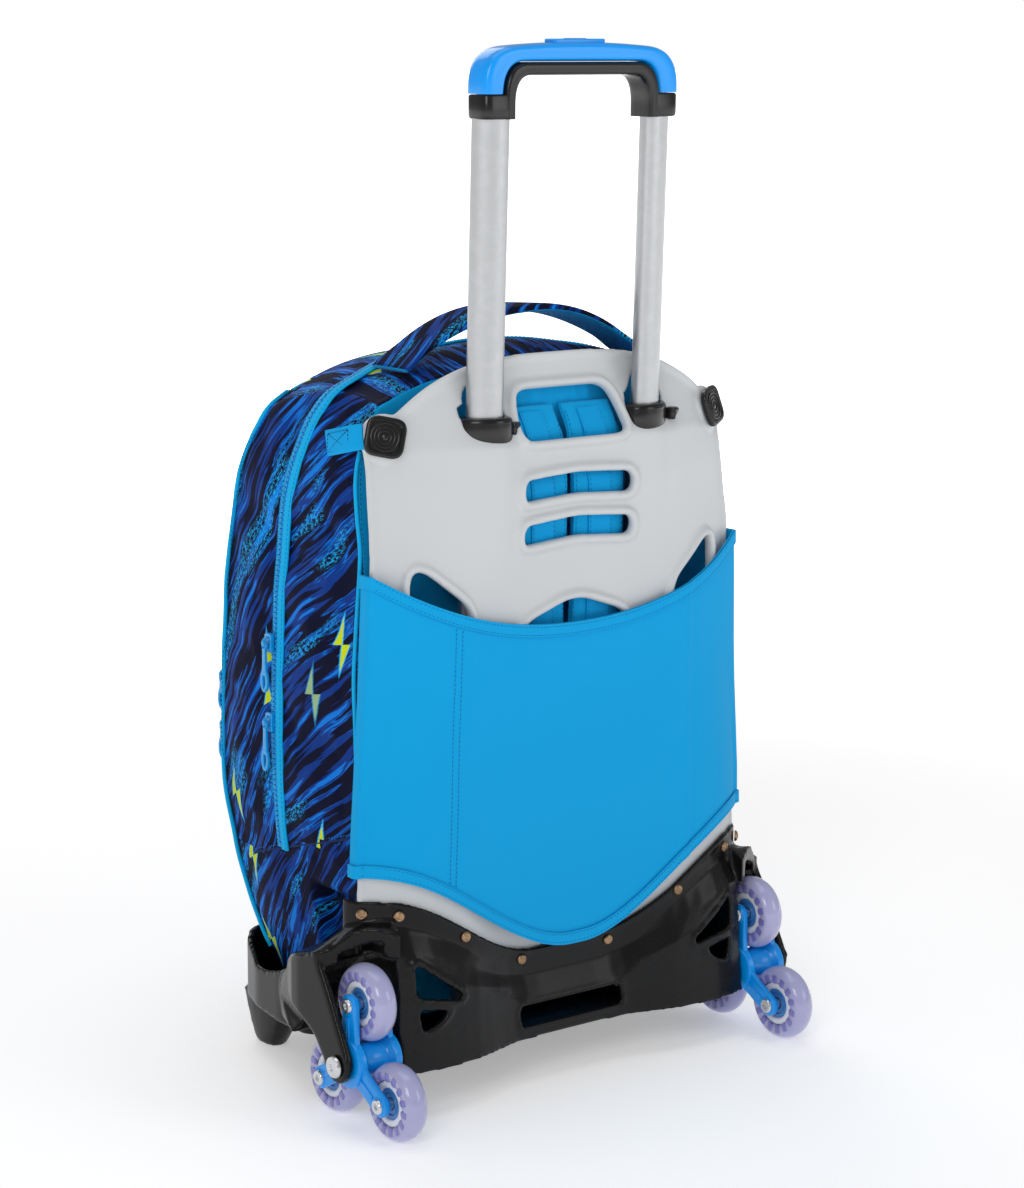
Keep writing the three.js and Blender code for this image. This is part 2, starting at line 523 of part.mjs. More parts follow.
const HANDLE = { half: 109, foot: 522.6, crown: 557, thick: 6, width: 34, y: 108 };
function carryHandle() {
  const top = (x) => mix(HANDLE.crown, HANDLE.foot, (Math.abs(x) / HANDLE.half) ** 2.2);
  return shaped(20, 2, 1, (u, v, w) => [u * (HANDLE.half - (w < 0 ? 3 : 0)), HANDLE.y + v * HANDLE.width / 2,
    top(u * HANDLE.half) - (w < 0 ? HANDLE.thick : 0)]);
}
add('carry_handle', carryHandle(), FINISH.print);

add('back_pad', shaped(4, 1, 6, (u, v, w) => {
  const z = 400 + w * 108;
  return [u * 52, 67 + v * 3.5 * Math.sqrt((1 - 0.5 * u ** 4) * (1 - 0.5 * w ** 4)), z];
}), FINISH.cyan);
SIDES.forEach(([name, side]) => {
  add(`${name}_shoulder_strap`, shaped(2, 1, 7, (u, v, w) => {
    const z = 390 + w * 100;
    const y = along(CENTRE_Y, z) + PANEL.thick + 4.8 + (v + 1) * 4.2;
    return [side * 25.5 + u * 23.5, y, z];
  }), FINISH.cyan);
});

// ---- cloth sleeve stretched over the panel, its ends wrapped round the panel's edges ----
const SLEEVE_TOP = (x) => 338 + 46 * (Math.abs(x) / SLEEVE.half) ** 2.2;
const SLEEVE_BOTTOM = (x) => 101 + 72 * smooth((Math.abs(x) - 5) / 165);
function sleeveFront(x, z) {
  const stretched = 28.5 + 26 * clamp01((Math.abs(x) - 92) / (SLEEVE.half - 92)) ** 1.6;
  return Math.min(stretched, panelFront(x, z) - SLEEVE.thick - 3.2);
}
add('fabric_sleeve', shaped(22, 1, 5, (u, v, w) => {
  const flat = 0.94;
  const x = clamp01(Math.abs(u) / flat) * SLEEVE.half;
  const wrap = clamp01((Math.abs(u) - flat) / (1 - flat));
  const z = mix(SLEEVE_BOTTOM(x), SLEEVE_TOP(x), (w + 1) / 2);
  const edge = along(EDGE_X, z);
  const inward = v > 0 ? SLEEVE.thick : 0;
  const frontX = x * (edge + SLEEVE.beyond) / SLEEVE.half;
  const face = sleeveFront(frontX, z);
  const outX = mix(frontX, edge + SLEEVE.wrapBeyond, wrap);
  const [sideIn, frontIn] = wrap > 0 ? [inward, 0] : [0, inward];
  return [Math.sign(u) * (outX - sideIn), mix(face, SLEEVE.back, wrap) + frontIn, z];
}), FINISH.cyan);

// ---- snap buttons and the webbing tabs behind them ----
SIDES.forEach(([name, side]) => {
  const h = SNAP.half;
  const face = rounded([[-h, -h], [h, -h], [h, h], [-h, h]], 6);
  add(`${name}_snap_button`, seatSnap(reaching(face, -SNAP.thick - GAP, -GAP, 4), side), FINISH.black);
  add(`${name}_snap_tab`, onSide(side, shaped(1, 4, 2, (u, v, w) => {
    const t = (v + 1) / 2;
    return [161 + u * 0.9 + 2 * t, 77 + 24 * t, SNAP.z - 4 + w * 10.5];
  })), FINISH.cyan);
});

// ---- zip sliders and pulls ----
const ZIP = { x: 167.8, y: 170, upper: 319, lower: 261, below: 36 };
const POCKET_ZIP = { x: 131.5, y: 287, upper: 270, lower: 232, below: 26 };
const SLIDER = { deep: 3.2, half: 4.5, tall: 7 };
const PULL = { pivotOut: 5.8, half: 1.2, above: 1.2, topHalf: 2.5, endHalf: 4.5 };
function slider(x, y, z) {
  const { deep, half, tall } = SLIDER;
  const plan = rounded([[0, -half], [deep, -half], [deep, half], [0, half]], 1);
  return standing(plan, -tall, tall, 2).translate(x, y, z);
}
// A pull hangs from its pivot, clear of the slider's face as it swings.
function pull(x, y, z, below) {
  const { pivotOut, half, above, topHalf, endHalf } = PULL;
  const outline = rounded([[-topHalf, above], [-endHalf, 4 - below], [1 - endHalf, -below],
    [endHalf - 1, -below], [endHalf, 4 - below], [topHalf, above]], 2);
  return spanning(outline, x + pivotOut - half, x + pivotOut + half, 2).translate(0, y, z);
}
[['upper', ZIP, ZIP.upper], ['lower', ZIP, ZIP.lower],
  ['pocket_upper', POCKET_ZIP, POCKET_ZIP.upper],
  ['pocket_lower', POCKET_ZIP, POCKET_ZIP.lower]].forEach(([name, spot, z]) => {
  add(`${name}_zip_slider`, mirrored(slider(spot.x, spot.y, z)), FINISH.zip);
  add(`${name}_zip_pull`, mirrored(pull(spot.x, spot.y, z, spot.below)), FINISH.zip);
});

export default model;
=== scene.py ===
"""School trolley backpack on a telescopic frame with two three-wheel stair spiders.

Every piece is built in the frame's own coordinates, in metres. Sizes are written in
millimetres in the workshop frame: X from the mid-plane, Y from the lower front wheel axle
towards the bag, Z up from the floor. at() takes a point from there to the model's frame.
"""

import logging
import math
from dataclasses import dataclass
from enum import Enum
from typing import Callable, Sequence

import bmesh
import bpy
from mathutils import Matrix, Vector, noise
from mathutils.bvhtree import BVHTree


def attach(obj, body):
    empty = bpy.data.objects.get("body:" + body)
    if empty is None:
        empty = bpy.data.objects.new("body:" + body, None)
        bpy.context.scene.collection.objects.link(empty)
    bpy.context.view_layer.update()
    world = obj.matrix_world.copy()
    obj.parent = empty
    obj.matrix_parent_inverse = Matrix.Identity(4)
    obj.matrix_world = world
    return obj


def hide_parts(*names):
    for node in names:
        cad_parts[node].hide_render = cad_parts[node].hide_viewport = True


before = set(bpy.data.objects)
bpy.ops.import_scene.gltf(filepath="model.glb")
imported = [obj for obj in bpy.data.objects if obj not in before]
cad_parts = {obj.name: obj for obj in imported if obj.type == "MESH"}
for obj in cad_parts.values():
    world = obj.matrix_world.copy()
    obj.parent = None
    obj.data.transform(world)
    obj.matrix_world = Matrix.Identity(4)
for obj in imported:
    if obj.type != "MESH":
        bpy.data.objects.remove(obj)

LOG = logging.getLogger("trolley")
MM = 0.001
ORIGIN_Y = 137.75  # workshop Y of the middle of the bounding box
SIDES = (("left", -1), ("right", 1))
Stations = Sequence[tuple[float, float]]
Surface = Callable[[float, float], Vector]


# ---- numbers and places -------------------------------------------------------------
def at(x: float, y: float, z: float) -> Vector:
    """A workshop point in millimetres as a point of the model's frame in metres."""
    return Vector((x, y - ORIGIN_Y, z)) * MM


def clamp01(t: float) -> float:
    """t held between 0 and 1."""
    return min(1.0, max(0.0, t))


def smooth(t: float) -> float:
    """A soft step from 0 at t = 0 to 1 at t = 1."""
    return clamp01(t) ** 2 * (3 - 2 * clamp01(t))


def mix(a: float, b: float, t: float) -> float:
    """The value that lies the share t of the way from a to b."""
    return a + (b - a) * t


def along(stations: Stations, place: float) -> float:
    """Reads a short list of stations.

    Args:
        stations: pairs of position and value, in rising order of position.
        place: the position that is asked for.

    Returns:
        The value there, on straight lines between the stations.
    """
    if place <= stations[0][0]:
        return stations[0][1]
    for (p, v), (q, w) in zip(stations, stations[1:]):
        if place <= q:
            return mix(v, w, (place - p) / (q - p))
    return stations[-1][1]


def rounded(points: Sequence[tuple[float, float]], radius: float, steps: int = 5) -> list[Vector]:
    """Rounds the corners of a closed outline.

    Args:
        points: the outline's corners.
        radius: how far from a corner its curve starts.
        steps: points on each corner's curve.

    Returns:
        The outline's points, as 2-D vectors.
    """
    found = []
    corners = [Vector(p) for p in points]
    for i, here in enumerate(corners):
        before, after = corners[i - 1], corners[(i + 1) % len(corners)]
        a = here + (before - here).normalized() * min(radius, (before - here).length / 2.05)
        b = here + (after - here).normalized() * min(radius, (after - here).length / 2.05)
        for k in range(steps + 1):
            t = k / steps
            found.append(a * (1 - t) ** 2 + here * 2 * t * (1 - t) + b * t * t)
    return found


def spaced(points: Sequence[Vector], step: float, closed: bool = False) -> list[Vector]:
    """Points a fixed distance apart on a line through the given ones.

    Args:
        points: the line's own points.
        step: the distance between the new points.
        closed: whether the line comes back to its start.

    Returns:
        The new points. A closed line doesn't repeat its first one.
    """
    line = [*points, points[0]] if closed else list(points)
    lengths = [0.0]
    for a, b in zip(line, line[1:]):
        lengths.append(lengths[-1] + (b - a).length)
    count = max(2, round(lengths[-1] / step))
    found, k = [], 0
    for i in range(count if closed else count + 1):
        target = lengths[-1] * i / count
        while k < len(line) - 2 and lengths[k + 1] < target:
            k += 1
        share = (target - lengths[k]) / max(lengths[k + 1] - lengths[k], 1e-9)
        found.append(line[k].lerp(line[k + 1], clamp01(share)))
    return found


def curved(points: Sequence[Vector], step: float) -> list[Vector]:
    """A smooth line through a few points, with its own points a fixed distance apart."""
    ends = [points[0] * 2 - points[1], *points, points[-1] * 2 - points[-2]]
    found = []
    for a, b, c, d in zip(ends, ends[1:], ends[2:], ends[3:]):
        for k in range(12):
            t = k / 12
            found.append(
                (b * 2 + (c - a) * t + (a * 2 - b * 5 + c * 4 - d) * t * t
                 + (b * 3 - a - c * 3 + d) * t ** 3) / 2
            )
    return spaced([*found, points[-1]], step)


# ---- shared moulded surfaces, in workshop millimetres --------------------------------
@dataclass(frozen=True)
class Mould:
    """The curves that the back panel, the tray's front wall and the sleeve all follow."""

    centre: Stations = (
        (60, 50), (85, 45.5), (100, 44), (145, 40), (200, 37), (300, 35), (400, 32.5),
        (440, 32.2), (468, 34.5), (505, 55), (530, 62),
    )
    ridge: Stations = ((100, 9), (145, 7), (250, 3), (350, 0))
    edge: Stations = ((100, 57), (395, 56), (453, 64), (480, 70), (530, 70))
    edge_x: Stations = ((150, 172.2), (200, 170.4), (300, 164), (395, 160), (453, 158))
    tube_x: float = 72.0
    thick: float = 3.0
    gap: float = 0.4

    def panel_y(self, x: float, z: float) -> float:
        """How far back the panel's front face lies at x, z."""
        ax = abs(x)
        middle = along(self.centre, z) - along(self.ridge, z) * smooth((ax - 40) / 60)
        out = clamp01((ax - 60) / (along(self.edge_x, z) - 60))
        power = mix(4.5, 2, clamp01((z - 150) / 250))
        channel = (
            6 * math.exp(-(((ax - self.tube_x) / 20) ** 2))
            * smooth((z - 360) / 70) * (1 - smooth((z - 466) / 16))
        )
        return mix(middle, along(self.edge, z), out ** power) - channel

    def lip_z(self, x: float) -> float:
        """The height of the riveted lip's upper edge at x."""
        return 98.5 + 57.5 * smooth((abs(x) - 28) / 137)

    def tray_y(self, x: float, z: float) -> float:
        """How far back the front face of the tray's wall lies at x, z."""
        drop = self.lip_z(x) - z
        bulge = 12 * smooth((drop - 15) / 25) + 0.15 * max(0.0, drop - 40)
        return self.panel_y(x, z) - self.thick - self.gap - bulge

    def on(self, depth: Callable[[float, float], float], x: float, z: float,
           out: float = 0.0) -> tuple[Vector, Vector]:
        """A point on a face that looks forward.

        Args:
            depth: the face's Y as a function of x, z.
            x: the place across.
            z: the height.
            out: how far in front of the face the point lies.

        Returns:
            The point and the face's outward normal, in the model's frame.
        """
        slope_x = (depth(x + 1, z) - depth(x - 1, z)) / 2
        slope_z = (depth(x, z + 1) - depth(x, z - 1)) / 2
        normal = Vector((slope_x, -1, slope_z)).normalized()
        return at(x, depth(x, z), z) + normal * out * MM, normal


MOULD = Mould()


# ---- making meshes -------------------------------------------------------------------
def loft(bm: bmesh.types.BMesh, rings: Sequence[Sequence[Vector]], round_ring: bool = True,
         round_path: bool = False, caps: bool = True, material: int = 0) -> None:
    """Lays a grid over a row of rings.

    Args:
        bm: the mesh that the skin is added to.
        rings: rows of points, all with the same count.
        round_ring: whether each ring closes on itself.
        round_path: whether the last ring joins the first.
        caps: whether the open ends of a closed ring are filled.
        material: the faces' material index.
    """
    rows = [*rings, rings[0]] if round_path else list(rings)
    rows = [[*row, row[0]] if round_ring else list(row) for row in rows]
    nx, ny = len(rows) - 1, len(rows[0]) - 1
    made = bmesh.ops.create_grid(bm, x_segments=nx, y_segments=ny, size=1)["verts"]
    for v in made:
        i, j = round((v.co.x + 1) / 2 * nx), round((v.co.y + 1) / 2 * ny)
        v.co = rows[i][j]
    faces = list({f for v in made for f in v.link_faces})
    for f in faces:
        f.material_index = material
    if round_ring or round_path:
        bmesh.ops.remove_doubles(bm, verts=made, dist=1e-6)
    if round_ring and caps and not round_path:
        kept = {v for f in faces if f.is_valid for v in f.verts}
        rim = list({e for v in kept for e in v.link_edges if e.is_boundary})
        capped = bmesh.ops.holes_fill(bm, edges=rim, sides=0)["faces"]
        for f in capped:
            f.material_index = material
        faces = [f for f in faces if f.is_valid] + capped
    faces = [f for f in faces if f.is_valid]
    if round_ring:
        bmesh.ops.recalc_face_normals(bm, faces=faces)


def oval(width: float, depth: float, count: int = 10, square: float = 2.0) -> list[tuple[float, float]]:
    """A section for sweeping: an oval, squarer as square rises, in metres."""
    found = []
    for k in range(count):
        a = 2 * math.pi * (k + 0.5) / count
        c, s = math.cos(a), math.sin(a)
        found.append((
            math.copysign(abs(c) ** (2 / square), c) * width / 2,
            math.copysign(abs(s) ** (2 / square), s) * depth / 2,
        ))
    return found


def sweep(bm: bmesh.types.BMesh, path: Sequence[Vector], ups: Sequence[Vector],
          section: Sequence[tuple[float, float]], closed: bool = False, lift: float = 0.0,
          material: int = 0) -> None:
    """Draws a section along a path.

    Args:
        bm: the mesh that the piece is added to.
        path: the path's points.
        ups: at each point, the direction of the section's second coordinate.
        section: pairs of (across the path, along up).
        closed: whether the path comes back to its start.
        lift: how far the section is moved along up.
        material: the faces' material index.
    """
    rings = []
    last = len(path) - 1
    for i, (p, up) in enumerate(zip(path, ups)):
        before = path[i - 1] if i or closed else path[0]
        after = path[(i + 1) % len(path)] if i < last or closed else path[last]
        tangent = (after - before).normalized()
        across = tangent.cross(up).normalized()
        normal = across.cross(tangent).normalized()
        rings.append([p + across * a + normal * (b + lift) for a, b in section])
    loft(bm, rings, round_path=closed, material=material)


def turned(bm: bmesh.types.BMesh, profile: Sequence[tuple[float, float]], centre: Vector,
           axis: Vector, steps: int = 64, material: int = 0) -> None:
    """Spins a profile into a round piece.

    Args:
        bm: the mesh that the piece is added to.
        profile: (radius, distance along the axis) in millimetres; a profile that ends off
            the axis is a closed ring.
        centre: a point on the axis.
        axis: the axis' direction.
        steps: segments in the full turn.
        material: the faces' material index.
    """
    side = axis.orthogonal().normalized()
    verts = [bm.verts.new(centre + axis * a * MM + side * r * MM) for r, a in profile]
    edges = [bm.edges.new(pair) for pair in zip(verts, verts[1:])]
    if profile[0][0] > 0:
        edges.append(bm.edges.new((verts[-1], verts[0])))
    known = set(bm.faces)
    bmesh.ops.spin(bm, geom=verts + edges, cent=centre, axis=axis, angle=2 * math.pi,
                   steps=steps, use_merge=True)
    faces = [f for f in bm.faces if f not in known]
    bmesh.ops.remove_doubles(bm, verts=list({v for f in faces for v in f.verts}), dist=1e-7)
    faces = [f for f in faces if f.is_valid]
    for f in faces:
        f.material_index = material
    bmesh.ops.recalc_face_normals(bm, faces=faces)


def prism(bm: bmesh.types.BMesh, outline: Sequence[Vector], place: Surface, depth: Vector,
          bevel: float = 0.0, segments: int = 3, material: int = 0) -> None:
    """Extrudes a flat outline.

    Args:
        bm: the mesh that the piece is added to.
        outline: 2-D points in order.
        place: puts a 2-D point in the model's frame.
        depth: the extrusion.
        bevel: the edges' rounding in metres, or 0.
        segments: steps of that rounding.
        material: the faces' material index.
    """
    base = bm.faces.new([bm.verts.new(place(p.x, p.y)) for p in outline])
    out = bmesh.ops.extrude_face_region(bm, geom=[base], use_keep_orig=True)["geom"]
    moved = [g for g in out if isinstance(g, bmesh.types.BMVert)]
    bmesh.ops.translate(bm, vec=depth, verts=moved)
    faces = list({f for v in moved for f in v.link_faces} | {base})
    bmesh.ops.recalc_face_normals(bm, faces=faces)
    for f in faces:
        f.material_index = material
    if bevel:
        rim = [e for e in {e for f in faces for e in f.edges}
               if len(e.link_faces) == 2 and e.calc_face_angle(0) > math.radians(50)]
        bmesh.ops.bevel(bm, geom=rim, offset=bevel, segments=segments, profile=0.5,
                        affect="EDGES", clamp_overlap=True, material=-1)


def stitches(bm: bmesh.types.BMesh, path: Sequence[Vector], ups: Sequence[Vector],
             pitch: float = 3.4 * MM, length: float = 2.5 * MM, thick: float = 0.55 * MM,
             material: int = 0) -> None:
    """Lays a row of thread stitches on a surface.

    Args:
        bm: the mesh that the stitches are added to.
        path: the seam's points.
        ups: the surface's normal at each point.
        pitch: from one stitch to the next.
        length: one stitch's visible length.
        thick: the thread's thickness.
        material: the faces' material index.
    """
    spots = spaced(path, pitch)
    for a, b in zip(spots, spots[1:]):
        middle, run = (a + b) / 2, (b - a).normalized()
        nearest = min(range(len(path)), key=lambda k: (path[k] - middle).length_squared)
        up = ups[nearest]
        across = run.cross(up).normalized()
        turn = Matrix((run, across, across.cross(run))).transposed().to_4x4()
        size = Matrix.Diagonal((length / 2, thick * 0.62, thick * 0.5, 1))
        made = bmesh.ops.create_icosphere(
            bm, subdivisions=1, radius=1, matrix=Matrix.Translation(middle) @ turn @ size)
        for f in {f for v in made["verts"] for f in v.link_faces}:
            f.material_index = material


class Shade(Enum):
    """How a piece's faces meet."""

    SOFT = 180.0
    CREASED = 38.0


def piece(name: str, bm: bmesh.types.BMesh, materials: Sequence[bpy.types.Material], body: str,
          stands_for: Sequence[str] = (),
          shade: Shade = Shade.CREASED) -> bpy.types.Object:
    """Turns a bmesh into a named piece of the model.

    Args:
        name: the piece's name.
        bm: its mesh, which is freed.
        materials: its materials in index order.
        body: the CAD body that it rides on.
        stands_for: the CAD nodes that it replaces.
        shade: how its faces meet.

    Returns:
        The new object.
    """
    for f in bm.faces:
        f.smooth = True
    for e in bm.edges:
        e.smooth = len(e.link_faces) != 2 or e.calc_face_angle(0) < math.radians(shade.value)
    mesh = bpy.data.meshes.new(name)
    bm.to_mesh(mesh)
    bm.free()
    obj = bpy.data.objects.new(name, mesh)
    bpy.context.scene.collection.objects.link(obj)
    for material in materials:
        mesh.materials.append(material)
    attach(obj, body)
    if stands_for:
        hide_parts(*stands_for)
    LOG.info("%s: %d faces, rides on %s", name, len(mesh.polygons), body)
    return obj


def eased(bm: bmesh.types.BMesh, offset: float, segments: int = 3, angle: float = 32.0) -> None:
    """Rounds every edge of a mesh that turns by more than angle degrees."""
    sharp = [e for e in bm.edges
             if len(e.link_faces) == 2 and e.calc_face_angle(0) > math.radians(angle)]
    bmesh.ops.bevel(bm, geom=sharp, offset=offset, segments=segments, profile=0.5,
                    affect="EDGES", clamp_overlap=True, material=-1)


def moulded(bm: bmesh.types.BMesh, voxel: float, rounds: int, triangles: int = 0) -> bmesh.types.BMesh:
    """Melts overlapping closed shapes into one soft-edged moulding.

    Args:
        bm: the shapes; it is freed.
        voxel: the remesh size in metres.
        rounds: smoothing rounds after it.
        triangles: the most triangles that are kept, or 0 for all.

    Returns:
        The new mesh.
    """
    mesh = bpy.data.meshes.new("moulding")
    bm.to_mesh(mesh)
    bm.free()
    obj = bpy.data.objects.new("moulding", mesh)
    bpy.context.scene.collection.objects.link(obj)
    remesh = obj.modifiers.new("remesh", "REMESH")
    remesh.mode, remesh.voxel_size, remesh.adaptivity = "VOXEL", voxel, 0.0
    ease = obj.modifiers.new("ease", "SMOOTH")
    ease.factor, ease.iterations = 0.5, rounds
    done = obj.evaluated_get(bpy.context.evaluated_depsgraph_get()).to_mesh()
    count = 2 * len(done.polygons)
    if triangles and count > triangles:
        thin = obj.modifiers.new("thin", "DECIMATE")
        thin.ratio = triangles / count
    graph = bpy.context.evaluated_depsgraph_get()
    done = bpy.data.meshes.new_from_object(obj.evaluated_get(graph), depsgraph=graph)
    bpy.data.objects.remove(obj)
    bpy.data.meshes.remove(mesh)
    out = bmesh.new()
    out.from_mesh(done)
    bpy.data.meshes.remove(done)
    return out


# ---- finishes ------------------------------------------------------------------------
class Graph:
    """A node tree that is built from the left to the right."""

    def __init__(self, tree: bpy.types.NodeTree) -> None:
        """Takes the tree that the nodes go into."""
        self.tree = tree

    def add(self, kind: str, inputs: dict | None = None, **settings: object) -> bpy.types.Node:
        """Adds a node.

        Args:
            kind: the node's type, without "ShaderNode".
            inputs: socket name or number, to a value or to a socket that is linked.
            settings: the node's own properties.

        Returns:
            The node.
        """
        node = self.tree.nodes.new(kind if kind.startswith("Node") else "ShaderNode" + kind)
        for key, value in settings.items():
            setattr(node, key, value)
        for key, value in (inputs or {}).items():
            if isinstance(value, bpy.types.NodeSocket):
                self.tree.links.new(value, node.inputs[key])
            else:
                node.inputs[key].default_value = value
        return node

    def sums(self, operation: str, *values: object, clamp: bool = False) -> bpy.types.NodeSocket:
        """The output of a Math node over the given values or sockets."""
        node = self.add("Math", dict(enumerate(values)), operation=operation, use_clamp=clamp)
        return node.outputs[0]

    def step(self, value: bpy.types.NodeSocket, low: float, high: float) -> bpy.types.NodeSocket:
        """A value turned into a soft mask that rises from low to high."""
        node = self.add("MapRange", {"Value": value, "From Min": low, "From Max": high},
                        interpolation_type="SMOOTHSTEP")
        return node.outputs[0]

    def blend(self, share: object, a: object, b: object) -> bpy.types.NodeSocket:
        """Colour a mixed towards colour b by share."""
        node = self.add("Mix", data_type="RGBA")
        for key, value in ((0, share), (6, a), (7, b)):
            if isinstance(value, bpy.types.NodeSocket):
                self.tree.links.new(value, node.inputs[key])
            else:
                node.inputs[key].default_value = value
        return node.outputs[2]

    def stretched(self, vector: object, scale: tuple[float, float, float],
                  turn: float = 0.0) -> bpy.types.NodeSocket:
        """A vector turned about Z by turn radians, then scaled."""
        turned_by = self.add("Mapping", {"Vector": vector, "Rotation": (0, 0, turn)})
        return self.add("Mapping", {"Vector": turned_by.outputs[0], "Scale": scale}).outputs[0]

    def noise(self, vector: object, scale: float, detail: float = 2.0,
              rough: float = 0.5) -> bpy.types.NodeSocket:
        """A noise texture's value."""
        node = self.add("TexNoise", {"Vector": vector, "Scale": scale, "Detail": detail,
                                     "Roughness": rough})
        return node.outputs["Fac"]


def group(name: str, inputs: Sequence[tuple[str, str, object]],
          outputs: Sequence[tuple[str, str]]) -> tuple[Graph, bpy.types.Node, bpy.types.Node]:
    """Starts a shader node group.

    Args:
        name: the group's name.
        inputs: (name, socket type without "NodeSocket", default).
        outputs: (name, socket type).

    Returns:
        Its graph, its input node and its output node.
    """
    tree = bpy.data.node_groups.new(name, "ShaderNodeTree")
    for label, kind, value in inputs:
        made = tree.interface.new_socket(label, in_out="INPUT", socket_type="NodeSocket" + kind)
        if value is not None:
            made.default_value = value
    for label, kind in outputs:
        tree.interface.new_socket(label, in_out="OUTPUT", socket_type="NodeSocket" + kind)
    graph = Graph(tree)
    return graph, graph.add("NodeGroupInput"), graph.add("NodeGroupOutput")


def weave_group() -> bpy.types.NodeTree:
    """Plain weave: raised threads that cross, and a slow unevenness of the cloth. Its Shade is partly painted
    shade, darker in the gaps between the raised threads, and partly random tone of the yarn.
    """
    g, given, made = group("plain_weave", [("Vector", "Vector", None), ("Pitch", "Float", 0.0009)],
                           [("Height", "Float"), ("Shade", "Float")])
    per = g.sums("DIVIDE", 2 * math.pi, given.outputs["Pitch"])
    split = g.add("SeparateXYZ", {0: given.outputs["Vector"]})
    x = g.sums("SINE", g.sums("MULTIPLY", split.outputs[0], per))
    y = g.sums("SINE", g.sums("MULTIPLY", split.outputs[1], per))
    threads = g.sums("MULTIPLY_ADD", g.sums("MULTIPLY", x, y), 0.5, 0.5)
    slub = g.noise(g.stretched(given.outputs["Vector"], (1, 0.18, 1)), 900, 2, 0.6)
    cross = g.noise(g.stretched(given.outputs["Vector"], (0.18, 1, 1)), 900, 2, 0.6)
    uneven = g.sums("MULTIPLY", g.sums("ADD", slub, cross), 0.5)
    g.tree.links.new(g.sums("ADD", g.sums("MULTIPLY", threads, 0.7), g.sums("MULTIPLY", uneven, 0.5)),
                     made.inputs["Height"])
    slow = g.noise(given.outputs["Vector"], 26, 3, 0.55)
    # Painted shade: lighter on the raised threads and darker in the gaps between them, mixed with the yarn's
    # random tone and the slow unevenness.
    shade = g.sums("ADD", g.sums("MULTIPLY", threads, 0.22), g.sums("MULTIPLY", uneven, 0.5))
    g.tree.links.new(g.sums("ADD", shade, g.sums("MULTIPLY", slow, 0.3)), made.inputs["Shade"])
    return g.tree


def grain_group() -> bpy.types.NodeTree:
    """Fine spark-eroded grain of a moulding, with the slow waviness of its wall."""
    g, given, made = group("moulding_grain", [("Vector", "Vector", None), ("Size", "Float", 0.0009)],
                           [("Height", "Float"), ("Patch", "Float")])
    fine = g.add("TexNoise", {"Vector": given.outputs["Vector"], "Detail": 3.0, "Roughness": 0.65,
                              "Scale": g.sums("DIVIDE", 1.0, given.outputs["Size"])}).outputs["Fac"]
    slow = g.noise(given.outputs["Vector"], 18, 2, 0.5)
    g.tree.links.new(g.sums("ADD", g.sums("MULTIPLY", fine, 0.6), slow), made.inputs["Height"])
    g.tree.links.new(g.sums("MULTIPLY_ADD", slow, 0.7, g.sums("MULTIPLY", fine, 0.3)),
                     made.inputs["Patch"])
    return g.tree


def wear_group() -> bpy.types.NodeTree:
    """Hairline scuffs, thicker where a slow patchiness lets them gather."""
    g, given, made = group("scuffs", [("Vector", "Vector", None), ("Amount", "Float", 0.5)],
                           [("Mask", "Float")])
    lines = g.noise(g.stretched(given.outputs["Vector"], (30, 240, 60), 0.5), 6, 4, 0.7)
    patch = g.noise(given.outputs["Vector"], 22, 3, 0.6)
    scuffed = g.sums("MULTIPLY", g.step(lines, 0.6, 0.75), g.step(patch, 0.5, 0.72))
    g.tree.links.new(g.sums("MULTIPLY", scuffed, given.outputs["Amount"]), made.inputs["Mask"])
    return g.tree


